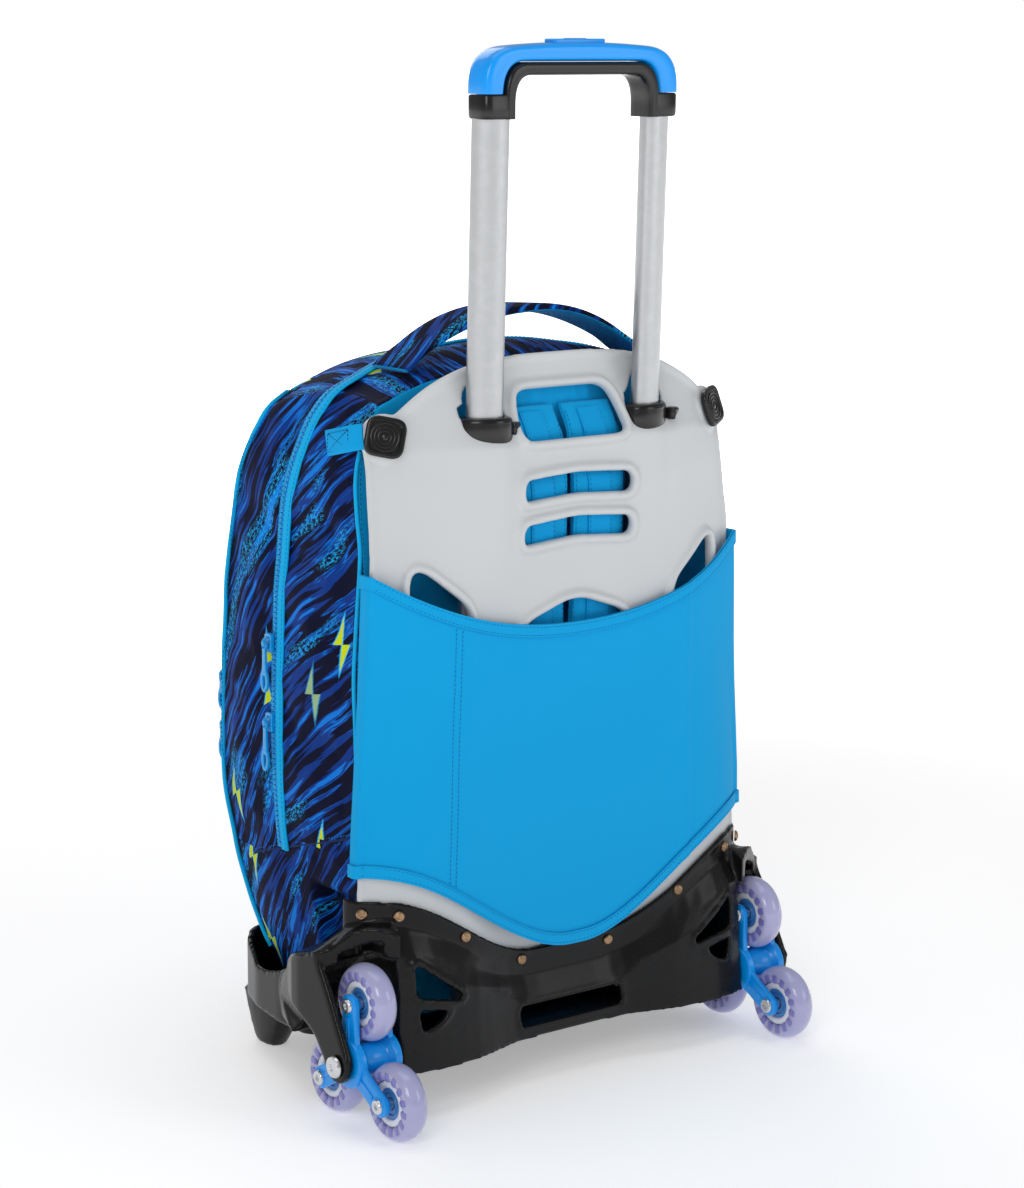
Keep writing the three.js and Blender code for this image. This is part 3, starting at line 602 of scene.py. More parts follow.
def brush_group() -> bpy.types.NodeTree:
    """The print: slanting dry-brush strokes with zigzag flashes strewn over them."""
    g, given, made = group(
        "brush_print",
        [("Vector", "Vector", None), ("Ground", "Color", (0.0015, 0.0025, 0.021, 1)),
         ("Deep", "Color", (0.0, 0.034, 0.24, 1)), ("Bright", "Color", (0.0, 0.19, 0.72, 1)),
         ("Spark", "Color", (0.01, 0.40, 0.85, 1)), ("Flash", "Color", (0.60, 0.72, 0.012, 1))],
        [("Color", "Color"), ("Ink", "Float")])
    vector = given.outputs["Vector"]
    # The strokes waver, so the cloth's own coordinates are bent before they are stretched.
    bend = g.add("TexNoise", {"Vector": vector, "Scale": 13.0, "Detail": 1.0}).outputs["Color"]
    bent = g.add("VectorMath", {0: bend, 1: (0.5, 0.5, 0.5)}, operation="SUBTRACT").outputs[0]
    bent = g.add("VectorMath", {0: bent, 1: (0.015, 0.015, 0.0), 2: vector},
                 operation="MULTIPLY_ADD").outputs[0]
    slant = -0.62
    wide = g.noise(g.stretched(bent, (13, 158, 1), slant), 1.0, 1, 0.5)
    narrow = g.noise(g.stretched(bent, (24, 400, 1), slant), 1.0, 2, 0.6)
    bristle = g.noise(g.stretched(bent, (45, 1300, 1), slant), 1.0, 2, 0.7)
    stroke = g.sums("ADD", g.sums("MULTIPLY", wide, 0.86),
                    g.sums("ADD", g.sums("MULTIPLY", narrow, 0.26), g.sums("MULTIPLY", bristle, 0.12)))
    colour = g.blend(g.step(stroke, 0.622, 0.634), given.outputs["Ground"], given.outputs["Deep"])
    patch = g.noise(g.stretched(bent, (9, 34, 1), slant), 1.0, 1, 0.5)
    line = g.sums("MULTIPLY", g.step(stroke, 0.640, 0.650), g.sums("SUBTRACT", 1.0,
                                                                   g.step(stroke, 0.662, 0.675)))
    line = g.sums("MULTIPLY", line, g.step(patch, 0.44, 0.52))
    colour = g.blend(g.sums("MAXIMUM", line, g.step(stroke, 0.745, 0.76)), colour,
                     given.outputs["Bright"])
    fleck = g.noise(g.stretched(vector, (270, 620, 1), slant), 1.0, 3, 0.85)
    spark = g.sums("MULTIPLY", g.step(fleck, 0.53, 0.545), g.step(patch, 0.575, 0.63))
    colour = g.blend(spark, colour, given.outputs["Spark"])
    # Flashes: one zigzag in some of the cells of a loose grid.
    cell = 12.5
    placed = g.stretched(vector, (cell, cell, 0))
    cells = g.add("TexVoronoi", {"Vector": placed, "Scale": 1.0, "Randomness": 0.75},
                  voronoi_dimensions="2D")
    local = g.add("VectorMath", {0: placed, 1: cells.outputs["Position"]},
                  operation="SUBTRACT").outputs[0]
    parts = g.add("SeparateXYZ", {0: g.stretched(local, (1, 1, 1), -0.16)})
    x, y = parts.outputs[0], parts.outputs[1]
    half = 0.25
    side = g.sums("SIGN", y)
    lean = g.sums("MULTIPLY_ADD", y, -0.42, x)
    line = g.sums("ABSOLUTE", g.sums("MULTIPLY_ADD", side, 0.055, lean))
    taper = g.sums("SUBTRACT", 1.0, g.sums("DIVIDE", g.sums("ABSOLUTE", y), half))
    width = g.sums("MULTIPLY", taper, 0.060)
    inside = g.sums("SUBTRACT", width, line)
    chosen = g.add("SeparateColor", {0: cells.outputs["Color"]}).outputs[0]
    here = g.step(chosen, 0.42, 0.43)
    rough = g.sums("MULTIPLY", g.sums("SUBTRACT", bristle, 0.5), 0.03)
    edge = g.sums("ADD", inside, rough)
    colour = g.blend(g.sums("MULTIPLY", g.step(edge, -0.016, -0.008), here), colour,
                     given.outputs["Spark"])
    flash = g.sums("MULTIPLY", g.step(edge, 0.0, 0.006), here)
    colour = g.blend(flash, colour, given.outputs["Flash"])
    g.tree.links.new(colour, made.inputs["Color"])
    g.tree.links.new(g.sums("ADD", g.step(stroke, 0.585, 0.70), flash, clamp=True), made.inputs["Ink"])
    return g.tree


Colour = tuple[float, float, float]


class Finish:
    """What every finish shares: a material with a Principled shader, made once."""

    groups: dict[str, bpy.types.NodeTree] = {}
    made: dict[str, bpy.types.Material] = {}
    makers = {"weave": weave_group, "grain": grain_group, "wear": wear_group, "brush": brush_group}
    name: str

    @classmethod
    def use(cls, graph: Graph, kind: str, inputs: dict) -> bpy.types.Node:
        """Places a shared group, which is built the first time."""
        if kind not in Finish.groups:
            Finish.groups[kind] = Finish.makers[kind]()
        node = graph.add("Group")
        node.node_tree = Finish.groups[kind]
        for key, value in inputs.items():
            if isinstance(value, bpy.types.NodeSocket):
                graph.tree.links.new(value, node.inputs[key])
            else:
                node.inputs[key].default_value = value
        return node

    def start(self, **constants: object) -> tuple[bpy.types.Material, Graph, bpy.types.Node, bpy.types.Node]:
        """A new material, its graph, its shader with these constants, and its coordinates."""
        material = bpy.data.materials.new(self.name)
        material.use_nodes = True
        graph = Graph(material.node_tree)
        shader = material.node_tree.nodes["Principled BSDF"]
        for key, value in constants.items():
            shader.inputs[key.replace("_", " ")].default_value = value
        return material, graph, shader, graph.add("TexCoord")

    def build(self) -> bpy.types.Material:
        """The material, built on first use."""
        if self.name not in Finish.made:
            Finish.made[self.name] = self.make()
        return Finish.made[self.name]

    def make(self) -> bpy.types.Material:
        """Each finish makes its own material."""
        raise NotImplementedError

    @staticmethod
    def bump(graph: Graph, shader: bpy.types.Node, height: bpy.types.NodeSocket, strength: float,
             distance: float) -> None:
        """Feeds a height into the shader's normal."""
        node = graph.add("Bump", {"Height": height, "Strength": strength, "Distance": distance})
        graph.tree.links.new(node.outputs[0], shader.inputs["Normal"])


@dataclass(frozen=True)
class Plastic(Finish):
    """A moulded plastic with grain, slight shading drift and scuffs."""

    name: str
    colour: Colour
    rough: float = 0.4
    grain: float = 0.0011
    depth: float = 0.00006
    drift: float = 0.06
    scuff: float = 0.35
    scuff_colour: Colour = (0.5, 0.5, 0.5)
    coat: float = 0.0
    gloss: float = 0.5

    def make(self) -> bpy.types.Material:
        """Builds the plastic."""
        material, g, shader, place = self.start(Coat_Weight=self.coat, Coat_Roughness=0.12,
                                                Specular_IOR_Level=self.gloss)
        where = place.outputs["Object"]
        grain = Finish.use(g, "grain", {"Vector": where, "Size": self.grain})
        wear = Finish.use(g, "wear", {"Vector": where, "Amount": self.scuff})
        dark = tuple(c * (1 - self.drift) for c in self.colour)
        light = tuple(min(1.0, c * (1 + self.drift)) for c in self.colour)
        colour = g.blend(grain.outputs["Patch"], (*dark, 1), (*light, 1))
        colour = g.blend(g.sums("MULTIPLY", wear.outputs["Mask"], 0.35), colour, (*self.scuff_colour, 1))
        g.tree.links.new(colour, shader.inputs["Base Color"])
        rough = g.sums("MULTIPLY_ADD", grain.outputs["Patch"], 0.12, self.rough - 0.06)
        g.tree.links.new(g.sums("MULTIPLY_ADD", wear.outputs["Mask"], 0.3, rough), shader.inputs["Roughness"])
        self.bump(g, shader, grain.outputs["Height"], 0.5, self.depth)
        return material


@dataclass(frozen=True)
class Metal(Finish):
    """Bare metal, drawn or turned along one direction."""

    name: str
    colour: Colour
    rough: float = 0.3
    along_z: float = 0.02
    tarnish: Colour = (0.3, 0.3, 0.3)
    tarnish_share: float = 0.15

    def make(self) -> bpy.types.Material:
        """Builds the metal."""
        material, g, shader, place = self.start(Metallic=1.0)
        lines = g.noise(g.stretched(place.outputs["Object"], (1, 1, self.along_z)), 2600, 3, 0.6)
        blotch = g.noise(place.outputs["Object"], 120, 3, 0.6)
        wear = Finish.use(g, "wear", {"Vector": place.outputs["Object"], "Amount": 0.6})
        share = g.sums("MULTIPLY", g.step(blotch, 0.4, 0.7), self.tarnish_share)
        colour = g.blend(share, (*self.colour, 1), (*self.tarnish, 1))
        g.tree.links.new(colour, shader.inputs["Base Color"])
        rough = g.sums("MULTIPLY_ADD", lines, 0.16, self.rough - 0.08)
        g.tree.links.new(g.sums("MULTIPLY_ADD", wear.outputs["Mask"], 0.2, rough), shader.inputs["Roughness"])
        self.bump(g, shader, lines, 0.25, 0.00004)
        return material


@dataclass(frozen=True)
class Cloth(Finish):
    """A dyed woven cloth, its dye darkened by painted shade in the gaps between the threads and varied by
    random tone of the yarn.
    """

    name: str
    colour: Colour
    pitch: float = 0.0011
    depth: float = 0.00016
    contrast: float = 0.16
    rough: float = 0.82
    sheen: float = 0.08

    def make(self) -> bpy.types.Material:
        """Builds the cloth."""
        material, g, shader, place = self.start(
            Sheen_Weight=self.sheen, Sheen_Roughness=0.45, Sheen_Tint=(*self.lightened(), 1),
            Specular_IOR_Level=0.2)
        weave = Finish.use(g, "weave", {"Vector": place.outputs["UV"], "Pitch": self.pitch})
        dark = tuple(c * (1 - self.contrast) for c in self.colour)
        light = tuple(min(1.0, c * (1 + self.contrast)) for c in self.colour)
        # Painted shade: the weave's Shade darkens the dye in the gaps between threads; the rest of it is
        # random tone of the yarn.
        g.tree.links.new(g.blend(weave.outputs["Shade"], (*dark, 1), (*light, 1)),
                         shader.inputs["Base Color"])
        g.tree.links.new(g.sums("MULTIPLY_ADD", weave.outputs["Shade"], -0.1, self.rough + 0.05),
                         shader.inputs["Roughness"])
        self.bump(g, shader, weave.outputs["Height"], 0.6, self.depth)
        return material

    def lightened(self) -> Colour:
        """The sheen's colour, half way from the dye to white."""
        return tuple(0.5 + c / 2 for c in self.colour)


@dataclass(frozen=True)
class PrintedCloth(Finish):
    """A woven cloth with the brush-stroke print."""

    name: str
    pitch: float = 0.0011

    def make(self) -> bpy.types.Material:
        """Builds the printed cloth."""
        material, g, shader, place = self.start(Sheen_Weight=0.0, Specular_IOR_Level=0.12)
        where = place.outputs["UV"]
        weave = Finish.use(g, "weave", {"Vector": where, "Pitch": self.pitch})
        ink = Finish.use(g, "brush", {"Vector": where})
        colour = ink.outputs["Color"]
        # Painted shade: the print is darkened in the gaps between threads by the weave's Shade, which also
        # carries random tone of the yarn.
        shade = g.sums("MULTIPLY_ADD", weave.outputs["Shade"], 0.5, 0.72)
        lit = g.add("VectorMath", {0: colour, "Scale": shade}, operation="SCALE").outputs[0]
        g.tree.links.new(lit, shader.inputs["Base Color"])
        g.tree.links.new(g.sums("MULTIPLY_ADD", ink.outputs["Ink"], -0.12, 0.78), shader.inputs["Roughness"])
        self.bump(g, shader, weave.outputs["Height"], 0.6, 0.00016)
        return material


@dataclass(frozen=True)
class Urethane(Finish):
    """Clear cast urethane, faintly tinted and cloudy."""

    name: str
    colour: Colour
    through: float = 0.25
    rough: float = 0.16

    def make(self) -> bpy.types.Material:
        """Builds the urethane."""
        material, g, shader, place = self.start(
            Transmission_Weight=self.through, IOR=1.45, Coat_Weight=0.5, Coat_Roughness=0.08)
        cloud = g.noise(place.outputs["Object"], 90, 3, 0.6)
        pale = tuple(min(1.0, c * 1.12) for c in self.colour)
        g.tree.links.new(g.blend(cloud, (*self.colour, 1), (*pale, 1)), shader.inputs["Base Color"])
        g.tree.links.new(g.sums("MULTIPLY_ADD", cloud, 0.16, self.rough - 0.08), shader.inputs["Roughness"])
        self.bump(g, shader, g.noise(place.outputs["Object"], 700, 2, 0.5), 0.3, 0.00005)
        return material


PANEL = Plastic("panel_plastic", (0.565, 0.585, 0.60), rough=0.42, drift=0.03, depth=0.00005,
                scuff=0.15, scuff_colour=(0.4, 0.4, 0.4))
TRAY = Plastic("tray_plastic", (0.006, 0.006, 0.0065), rough=0.27, drift=0.2, depth=0.00006,
               scuff=0.3, scuff_colour=(0.04, 0.04, 0.04), gloss=0.22)
BLACK = Plastic("black_plastic", (0.005, 0.005, 0.0055), rough=0.26, drift=0.2, scuff=0.2,
                scuff_colour=(0.05, 0.05, 0.05), coat=0.15, gloss=0.35)
BLUE = Plastic("blue_plastic", (0.0, 0.30, 0.86), gloss=0.3, rough=0.3, drift=0.05, depth=0.00003,
               scuff=0.3, scuff_colour=(0.2, 0.45, 0.85), coat=0.35)
CORE = Plastic("wheel_core", (0.80, 0.82, 0.88), rough=0.35, drift=0.04, scuff=0.1)
TAB = Plastic("wheel_tabs", (0.20, 0.19, 0.52), rough=0.3, drift=0.15, scuff=0.0, coat=0.4)
BEARING = Plastic("bearing_ring", (0.05, 0.22, 0.55), rough=0.35, drift=0.1)
ZIP = Plastic("zip_teeth", (0.0, 0.30, 0.70), rough=0.35, drift=0.08, grain=0.0006, coat=0.3)
ALUMINIUM = Metal("aluminium", (0.44, 0.45, 0.46), rough=0.42, tarnish=(0.6, 0.61, 0.63))
STEEL = Metal("steel", (0.66, 0.67, 0.69), rough=0.28, along_z=1.0)
BRONZE = Metal("rivet_metal", (0.42, 0.27, 0.16), rough=0.38, along_z=1.0, tarnish=(0.12, 0.08, 0.05),
               tarnish_share=0.6)
CYAN = Cloth("cyan_fabric", (0.0, 0.345, 0.72))
WEBBING = Cloth("webbing", (0.0, 0.325, 0.70), pitch=0.0021, depth=0.0004, contrast=0.28)
PIPING = Cloth("piping", (0.0, 0.40, 0.78), pitch=0.0009, contrast=0.12)
MESH = Cloth("handle_mesh", (0.0, 0.24, 0.55), pitch=0.0030, depth=0.0007, contrast=0.45)
THREAD = Cloth("thread", (0.0, 0.17, 0.44), pitch=0.0006, contrast=0.1, sheen=0.2)
DARK_THREAD = Cloth("dark_thread", (0.004, 0.02, 0.09), pitch=0.0006, contrast=0.1)
PRINT = PrintedCloth("printed_fabric")
TYRE = Urethane("clear_urethane", (0.50, 0.50, 0.78))


# ---- the studio ----------------------------------------------------------------------
@dataclass(frozen=True)
class Studio:
    """Camera, soft lights and a pale floor."""

    camera_at: tuple[float, float, float] = (-1.2883, -1.71215, 0.7519)
    azimuth: float = -37.46
    elevation: float = 10.87
    roll: float = 0.31
    lens: float = 89.64
    sensor: float = 36.0
    floor_half: float = 40.0
    floor_colour: Colour = (0.90, 0.90, 0.905)
    floor_glow: float = 0.34
    sky: float = 0.34
    backdrop: float = 1.0

    def camera(self) -> None:
        """Places the camera at the product's three-quarter back view."""
        a, e, r = (math.radians(v) for v in (self.azimuth, self.elevation, self.roll))
        back = Vector((math.sin(a) * math.cos(e), -math.cos(a) * math.cos(e), math.sin(e)))
        right = Vector((math.cos(a), math.sin(a), 0))
        up = back.cross(right)
        across = right * math.cos(r) + up * math.sin(r)
        rows = Matrix((across, back.cross(across), back)).transposed()
        data = bpy.data.cameras.new("camera")
        data.lens, data.sensor_width = self.lens, self.sensor
        data.clip_start, data.clip_end = 0.05, 200.0
        camera = bpy.data.objects.new("camera", data)
        camera.matrix_world = Matrix.Translation(self.camera_at) @ rows.to_4x4()
        bpy.context.scene.collection.objects.link(camera)
        bpy.context.scene.camera = camera

    def light(self, name: str, place: tuple[float, float, float], size: float, power: float,
              aim: tuple[float, float, float] = (0, 0, 0.35)) -> None:
        """Hangs one square softbox, in metres and watts, aimed at a point."""
        data = bpy.data.lights.new(name, "AREA")
        data.shape, data.size, data.energy = "SQUARE", size, power
        lamp = bpy.data.objects.new(name, data)
        lamp.location = place
        lamp.rotation_mode = "QUATERNION"
        lamp.rotation_quaternion = (Vector(aim) - Vector(place)).to_track_quat("-Z", "Y")
        bpy.context.scene.collection.objects.link(lamp)

    def floor(self) -> None:
        """Lays the floor and sets the even light of a white room."""
        bm = bmesh.new()
        bmesh.ops.create_grid(bm, x_segments=1, y_segments=1, size=self.floor_half)
        mesh = bpy.data.meshes.new("floor")
        bm.to_mesh(mesh)
        bm.free()
        floor = bpy.data.objects.new("floor", mesh)
        bpy.context.scene.collection.objects.link(floor)
        material = bpy.data.materials.new("floor")
        material.use_nodes = True
        shader = material.node_tree.nodes["Principled BSDF"]
        shader.inputs["Base Color"].default_value = (*self.floor_colour, 1)
        shader.inputs["Roughness"].default_value = 0.75
        shader.inputs["Specular IOR Level"].default_value = 0.2
        shader.inputs["Emission Color"].default_value = (1, 1, 1, 1)
        # The floor shines of itself only far from the product, where it meets the white room.
        ground = Graph(material.node_tree)
        far = ground.add("VectorMath", {0: ground.add("TexCoord").outputs["Object"]},
                         operation="LENGTH").outputs["Value"]
        glow = ground.sums("MULTIPLY_ADD", ground.step(far, 0.7, 3.0), 1.1, self.floor_glow)
        ground.tree.links.new(glow, shader.inputs["Emission Strength"])
        mesh.materials.append(material)
        world = bpy.data.worlds.new("room")
        world.use_nodes = True
        graph = Graph(world.node_tree)
        seen = graph.add("LightPath").outputs["Is Camera Ray"]
        shade = graph.sums("MULTIPLY_ADD", seen, self.backdrop - self.sky, self.sky)
        graph.tree.links.new(shade, world.node_tree.nodes["Background"].inputs[1])
        world.node_tree.nodes["Background"].inputs[0].default_value = (1.0, 1.0, 1.0, 1)
        bpy.context.scene.world = world

    def build(self) -> None:
        """Sets up the whole studio."""
        bpy.context.scene.view_settings.view_transform = "Standard"
        self.camera()
        self.floor()
        self.light("key", (-2.2, -1.9, 2.0), 1.3, 25)
        self.light("front", (1.5, -2.6, 1.3), 1.2, 10)
        self.light("back", (0.6, 2.6, 2.2), 1.8, 20)
        self.light("top", (0.0, 0.0, 3.0), 2.0, 17)


# ---- the moulded frame ---------------------------------------------------------------
Outline = tuple[tuple[tuple[float, float], ...], float]


def mirrored(outline: Outline) -> Outline:
    """An outline and corner radius, mirrored across X = 0."""
    return tuple((-x, z) for x, z in reversed(outline[0])), outline[1]


def inside(point: tuple[float, float], outline: Sequence[Vector]) -> bool:
    """Whether a 2-D point lies inside a closed outline."""
    x, z = point
    odd = False
    for a, b in zip(outline, [*outline[1:], outline[0]]):
        if (a.y > z) != (b.y > z) and x < a.x + (z - a.y) / (b.y - a.y) * (b.x - a.x):
            odd = not odd
    return odd


@dataclass(frozen=True)
class SnapSeat:
    """Where a snap button sits on the panel's upper corner, and how it leans."""

    x: float = 146.0
    y: float = 59.5
    z: float = 477.0
    turn: float = 0.47
    tilt: float = 0.25
    roll: float = 0.20

    def matrix(self, side: int) -> Matrix:
        """Takes a piece drawn about the snap's centre, facing -Y, in metres, to its place."""
        return (Matrix.Translation(at(side * self.x, self.y, self.z))
                @ Matrix.Rotation(side * self.turn, 4, "Z") @ Matrix.Rotation(-self.tilt, 4, "X")
                @ Matrix.Rotation(-side * self.roll, 4, "Y"))


SEAT = SnapSeat()


@dataclass(frozen=True)
class Telescope:
    """The two oval telescopic tubes and their collars."""

    x: float = 72.0
    y: float = 45.8
    at_z: float = 481.9
    lean: float = -0.0302
    turn: float = math.radians(22)
    inner: tuple[float, float] = (13.2, 9.0)
    outer: tuple[float, float] = (16.3, 11.3)
    wall: float = 1.4
    inner_z: tuple[float, float] = (318.0, 697.0)
    outer_z: tuple[float, float] = (50.0, 459.0)
    collar: tuple[float, float] = (20.4, 14.4)
    collar_z: tuple[float, float] = (463.0, 487.0)

    def ring(self, side: int, a: float, b: float, z: float, count: int = 56) -> list[Vector]:
        """An oval round the tube's axis at a height."""
        found = []
        for k in range(count):
            t = 2 * math.pi * k / count
            p = Matrix.Rotation(side * self.turn, 2) @ Vector((a * math.cos(t), b * math.sin(t)))
            found.append(at(side * self.x + p.x, self.y + (z - self.at_z) * self.lean + p.y, z))
        return found

    def within(self, x: float, y: float, z: float, a: float, b: float) -> bool:
        """Whether a workshop point lies inside an oval a by b round either tube's axis."""
        side = 1 if x > 0 else -1
        p = Vector((x - side * self.x, y - self.y - (z - self.at_z) * self.lean))
        p = Matrix.Rotation(-side * self.turn, 2) @ p
        return (p.x / a) ** 2 + (p.y / b) ** 2 < 1

    def tube(self, side: int, size: tuple[float, float], span: tuple[float, float]) -> bmesh.types.BMesh:
        """A drawn tube with slightly broken edges at both ends."""
        bm = bmesh.new()
        (a, b), (low, high), edge = size, span, 0.35
        shell = [(0, low + edge), (0, high - edge), (edge, high), (self.wall - edge, high),
                 (self.wall, high - edge), (self.wall, low + edge), (self.wall - edge, low), (edge, low)]
        steps = []
        for (cut, z), (_, after) in zip(shell, [*shell[1:], shell[0]]):
            count = 24 if abs(after - z) > 50 else 1
            steps += [(cut, mix(z, after, k / count)) for k in range(count)]
        loft(bm, [self.ring(side, a - cut, b - cut, z) for cut, z in steps], round_path=True)
        return bm

    def collar_piece(self, side: int) -> bmesh.types.BMesh:
        """A collar that flares to a lip, with a small catch beside it."""
        bm = bmesh.new()
        low, high = self.collar_z
        outside = [(0.80, low), (0.90, low + 1.0), (0.97, low + 5), (1.0, low + 11), (1.0, high - 5.5),
                   (0.985, high - 4.6), (0.985, high - 3.2), (0.95, high - 1.0), (0.88, high)]
        a, b = self.collar
        rings = [self.ring(side, a * s, b * s, z) for s, z in outside]
        bore = (self.inner[0] + 0.5, self.inner[1] + 0.5)
        rings += [self.ring(side, bore[0] + g, bore[1] + g, z)
                  for g, z in ((0.8, high), (0, high - 1.0), (0, low + 1), (0.6, low))]
        loft(bm, rings, round_path=True)
        middle = at(side * self.x + 20.5, self.y - 6.5, high - 8.5)
        made = bmesh.ops.create_cube(bm, size=1, matrix=Matrix.Translation(middle)
                                     @ Matrix.Rotation(0.5, 4, "Z")
                                     @ Matrix.Diagonal((9.5 * MM, 9 * MM, 9 * MM, 1)))
        edges = list({e for v in made["verts"] for e in v.link_edges})
        bmesh.ops.bevel(bm, geom=edges, offset=2.4 * MM, segments=4, profile=0.5, affect="EDGES",
                        material=-1)
        ring = [v for v in bm.verts if (v.co - middle).length < 8 * MM and v.co.z < middle.z - 2 * MM
                and v.co.x > middle.x]
        bmesh.ops.translate(bm, verts=ring, vec=(-2.5 * MM, 0.5 * MM, 0))
        return bm

    def build(self) -> None:
        """Makes tubes and collars on both sides."""
        for name, side in SIDES:
            piece(f"{name}_tube_sleeve", self.tube(side, self.outer, self.outer_z),
                  [ALUMINIUM.build()], "trolley", [f"{name}_outer_tube"])
            piece(f"{name}_tube", self.tube(side, self.inner, self.inner_z),
                  [ALUMINIUM.build()], "handle", [f"{name}_inner_tube"])
            piece(f"{name}_tube_collar", self.collar_piece(side), [BLACK.build()], "trolley",
                  [f"{name}_collar"])


TELESCOPE = Telescope()


@dataclass(frozen=True)
class BackPanel:
    """The grey back shell, with rolled rims round its openings and its edge."""

    half: float = 173.0
    top_z: float = 526.0
    corner_drop: float = 56.0
    hem: float = 18.0
    columns: int = 168
    rows: int = 170
    windows: tuple[Outline, ...] = (
        (((-49, 467), (49, 467), (46, 490), (40, 504), (-40, 504), (-46, 490)), 13),
        (((-50, 425), (0, 428), (50, 425), (50, 443), (0, 446), (-50, 443)), 8),
        (((-50, 394), (0, 398), (50, 394), (50, 411), (0, 415), (-50, 411)), 8),
        (((-40, 232), (40, 232), (51, 340), (0, 358), (-51, 340)), 16),
        (((90, 262), (137, 252), (137, 383), (128, 388), (90, 357)), 12),
    )
    voxel: float = 1.5 * MM

    def spot(self, u: float, w: float) -> tuple[float, float]:
        """Across and up on the panel, for u in -1..1 and w in 0..1."""
        x0 = u * self.half
        top = self.top_z - self.corner_drop * abs(u) ** 3.2
        z = mix(MOULD.lip_z(x0) - self.hem, top, w)
        return u * along(MOULD.edge_x, z), z

    def bead(self, bm: bmesh.types.BMesh, outline: Sequence[Vector], wide: float, high: float,
             aside: float) -> None:
        """A rolled rim along a closed outline on the panel.

        Args:
            bm: the mesh that it is added to.
            outline: 2-D points on the panel.
            wide: its width in millimetres.
            high: its height through the panel's thickness.
            aside: how far it lies outwards from the outline.
        """
        path = spaced(outline, 2.2, closed=True)
        points, ups = [], []
        for i, p in enumerate(path):
            tangent = (path[(i + 1) % len(path)] - path[i - 1]).normalized()
            p = p + Vector((-tangent.y, tangent.x)) * -aside
            point, normal = MOULD.on(MOULD.panel_y, p.x, p.y)
            points.append(point)
            ups.append(normal)
        sweep(bm, points, ups, oval(wide * MM, high * MM, 12, 2.6), closed=True, lift=-0.5 * MM)

    def build(self) -> None:
        """Makes the panel."""
        bm = bmesh.new()
        rings = []
        for i in range(self.columns + 1):
            column = [self.spot(2 * i / self.columns - 1, j / self.rows) for j in range(self.rows + 1)]
            rings.append([at(x, MOULD.panel_y(x, z), z) for x, z in column])
        loft(bm, rings, round_ring=False)
        windows = [*self.windows, mirrored(self.windows[4])]
        cuts = [rounded(points, radius) for points, radius in windows]
        gone = []
        for f in bm.faces:
            c = f.calc_center_median() / MM
            y = c.y + ORIGIN_Y
            room = (15.2, 11.0) if c.z > 496 else (18.6, 12.4)
            if any(inside((c.x, c.z), cut) for cut in cuts) or (
                    c.z > 460 and TELESCOPE.within(c.x, y, c.z, *room)):
                gone.append(f)
        bmesh.ops.delete(bm, geom=gone, context="FACES")
        bmesh.ops.recalc_face_normals(bm, faces=bm.faces)
        back = sum(f.normal.y for f in bm.faces) > 0
        bmesh.ops.solidify(bm, geom=bm.faces[:], thickness=(-1 if back else 1) * MOULD.thick * MM)
        for cut, (_, radius) in zip(cuts, windows):
            self.bead(bm, cut, 6.4, 9.0, 1.5)
        edge = ([Vector(self.spot(-1, j / 60)) for j in range(61)]
                + [Vector(self.spot(2 * i / 90 - 1, 1)) for i in range(1, 90)]
                + [Vector(self.spot(1, 1 - j / 60)) for j in range(61)]
                + [Vector(self.spot(1 - 2 * i / 90, 0)) for i in range(1, 90)])
        self.bead(bm, edge, 5.2, 5.0, 1.4)
        for _, side in SIDES:
            matrix = SEAT.matrix(side)
            centre, axis = matrix @ Vector((0, 0.5 * MM, 0)), matrix.to_3x3() @ Vector((0, 1, 0))
            turned(bm, ((0, 0), (14.5, 0), (16.4, 1.6), (17.2, 4.5), (17.2, 7), (0, 7)), centre, axis, 40)
        bmesh.ops.recalc_face_normals(bm, faces=bm.faces)
        done = moulded(bm, self.voxel, 7, 190000)
        piece("panel_shell", done, [PANEL.build()], "trolley", ["back_panel"], Shade.SOFT)


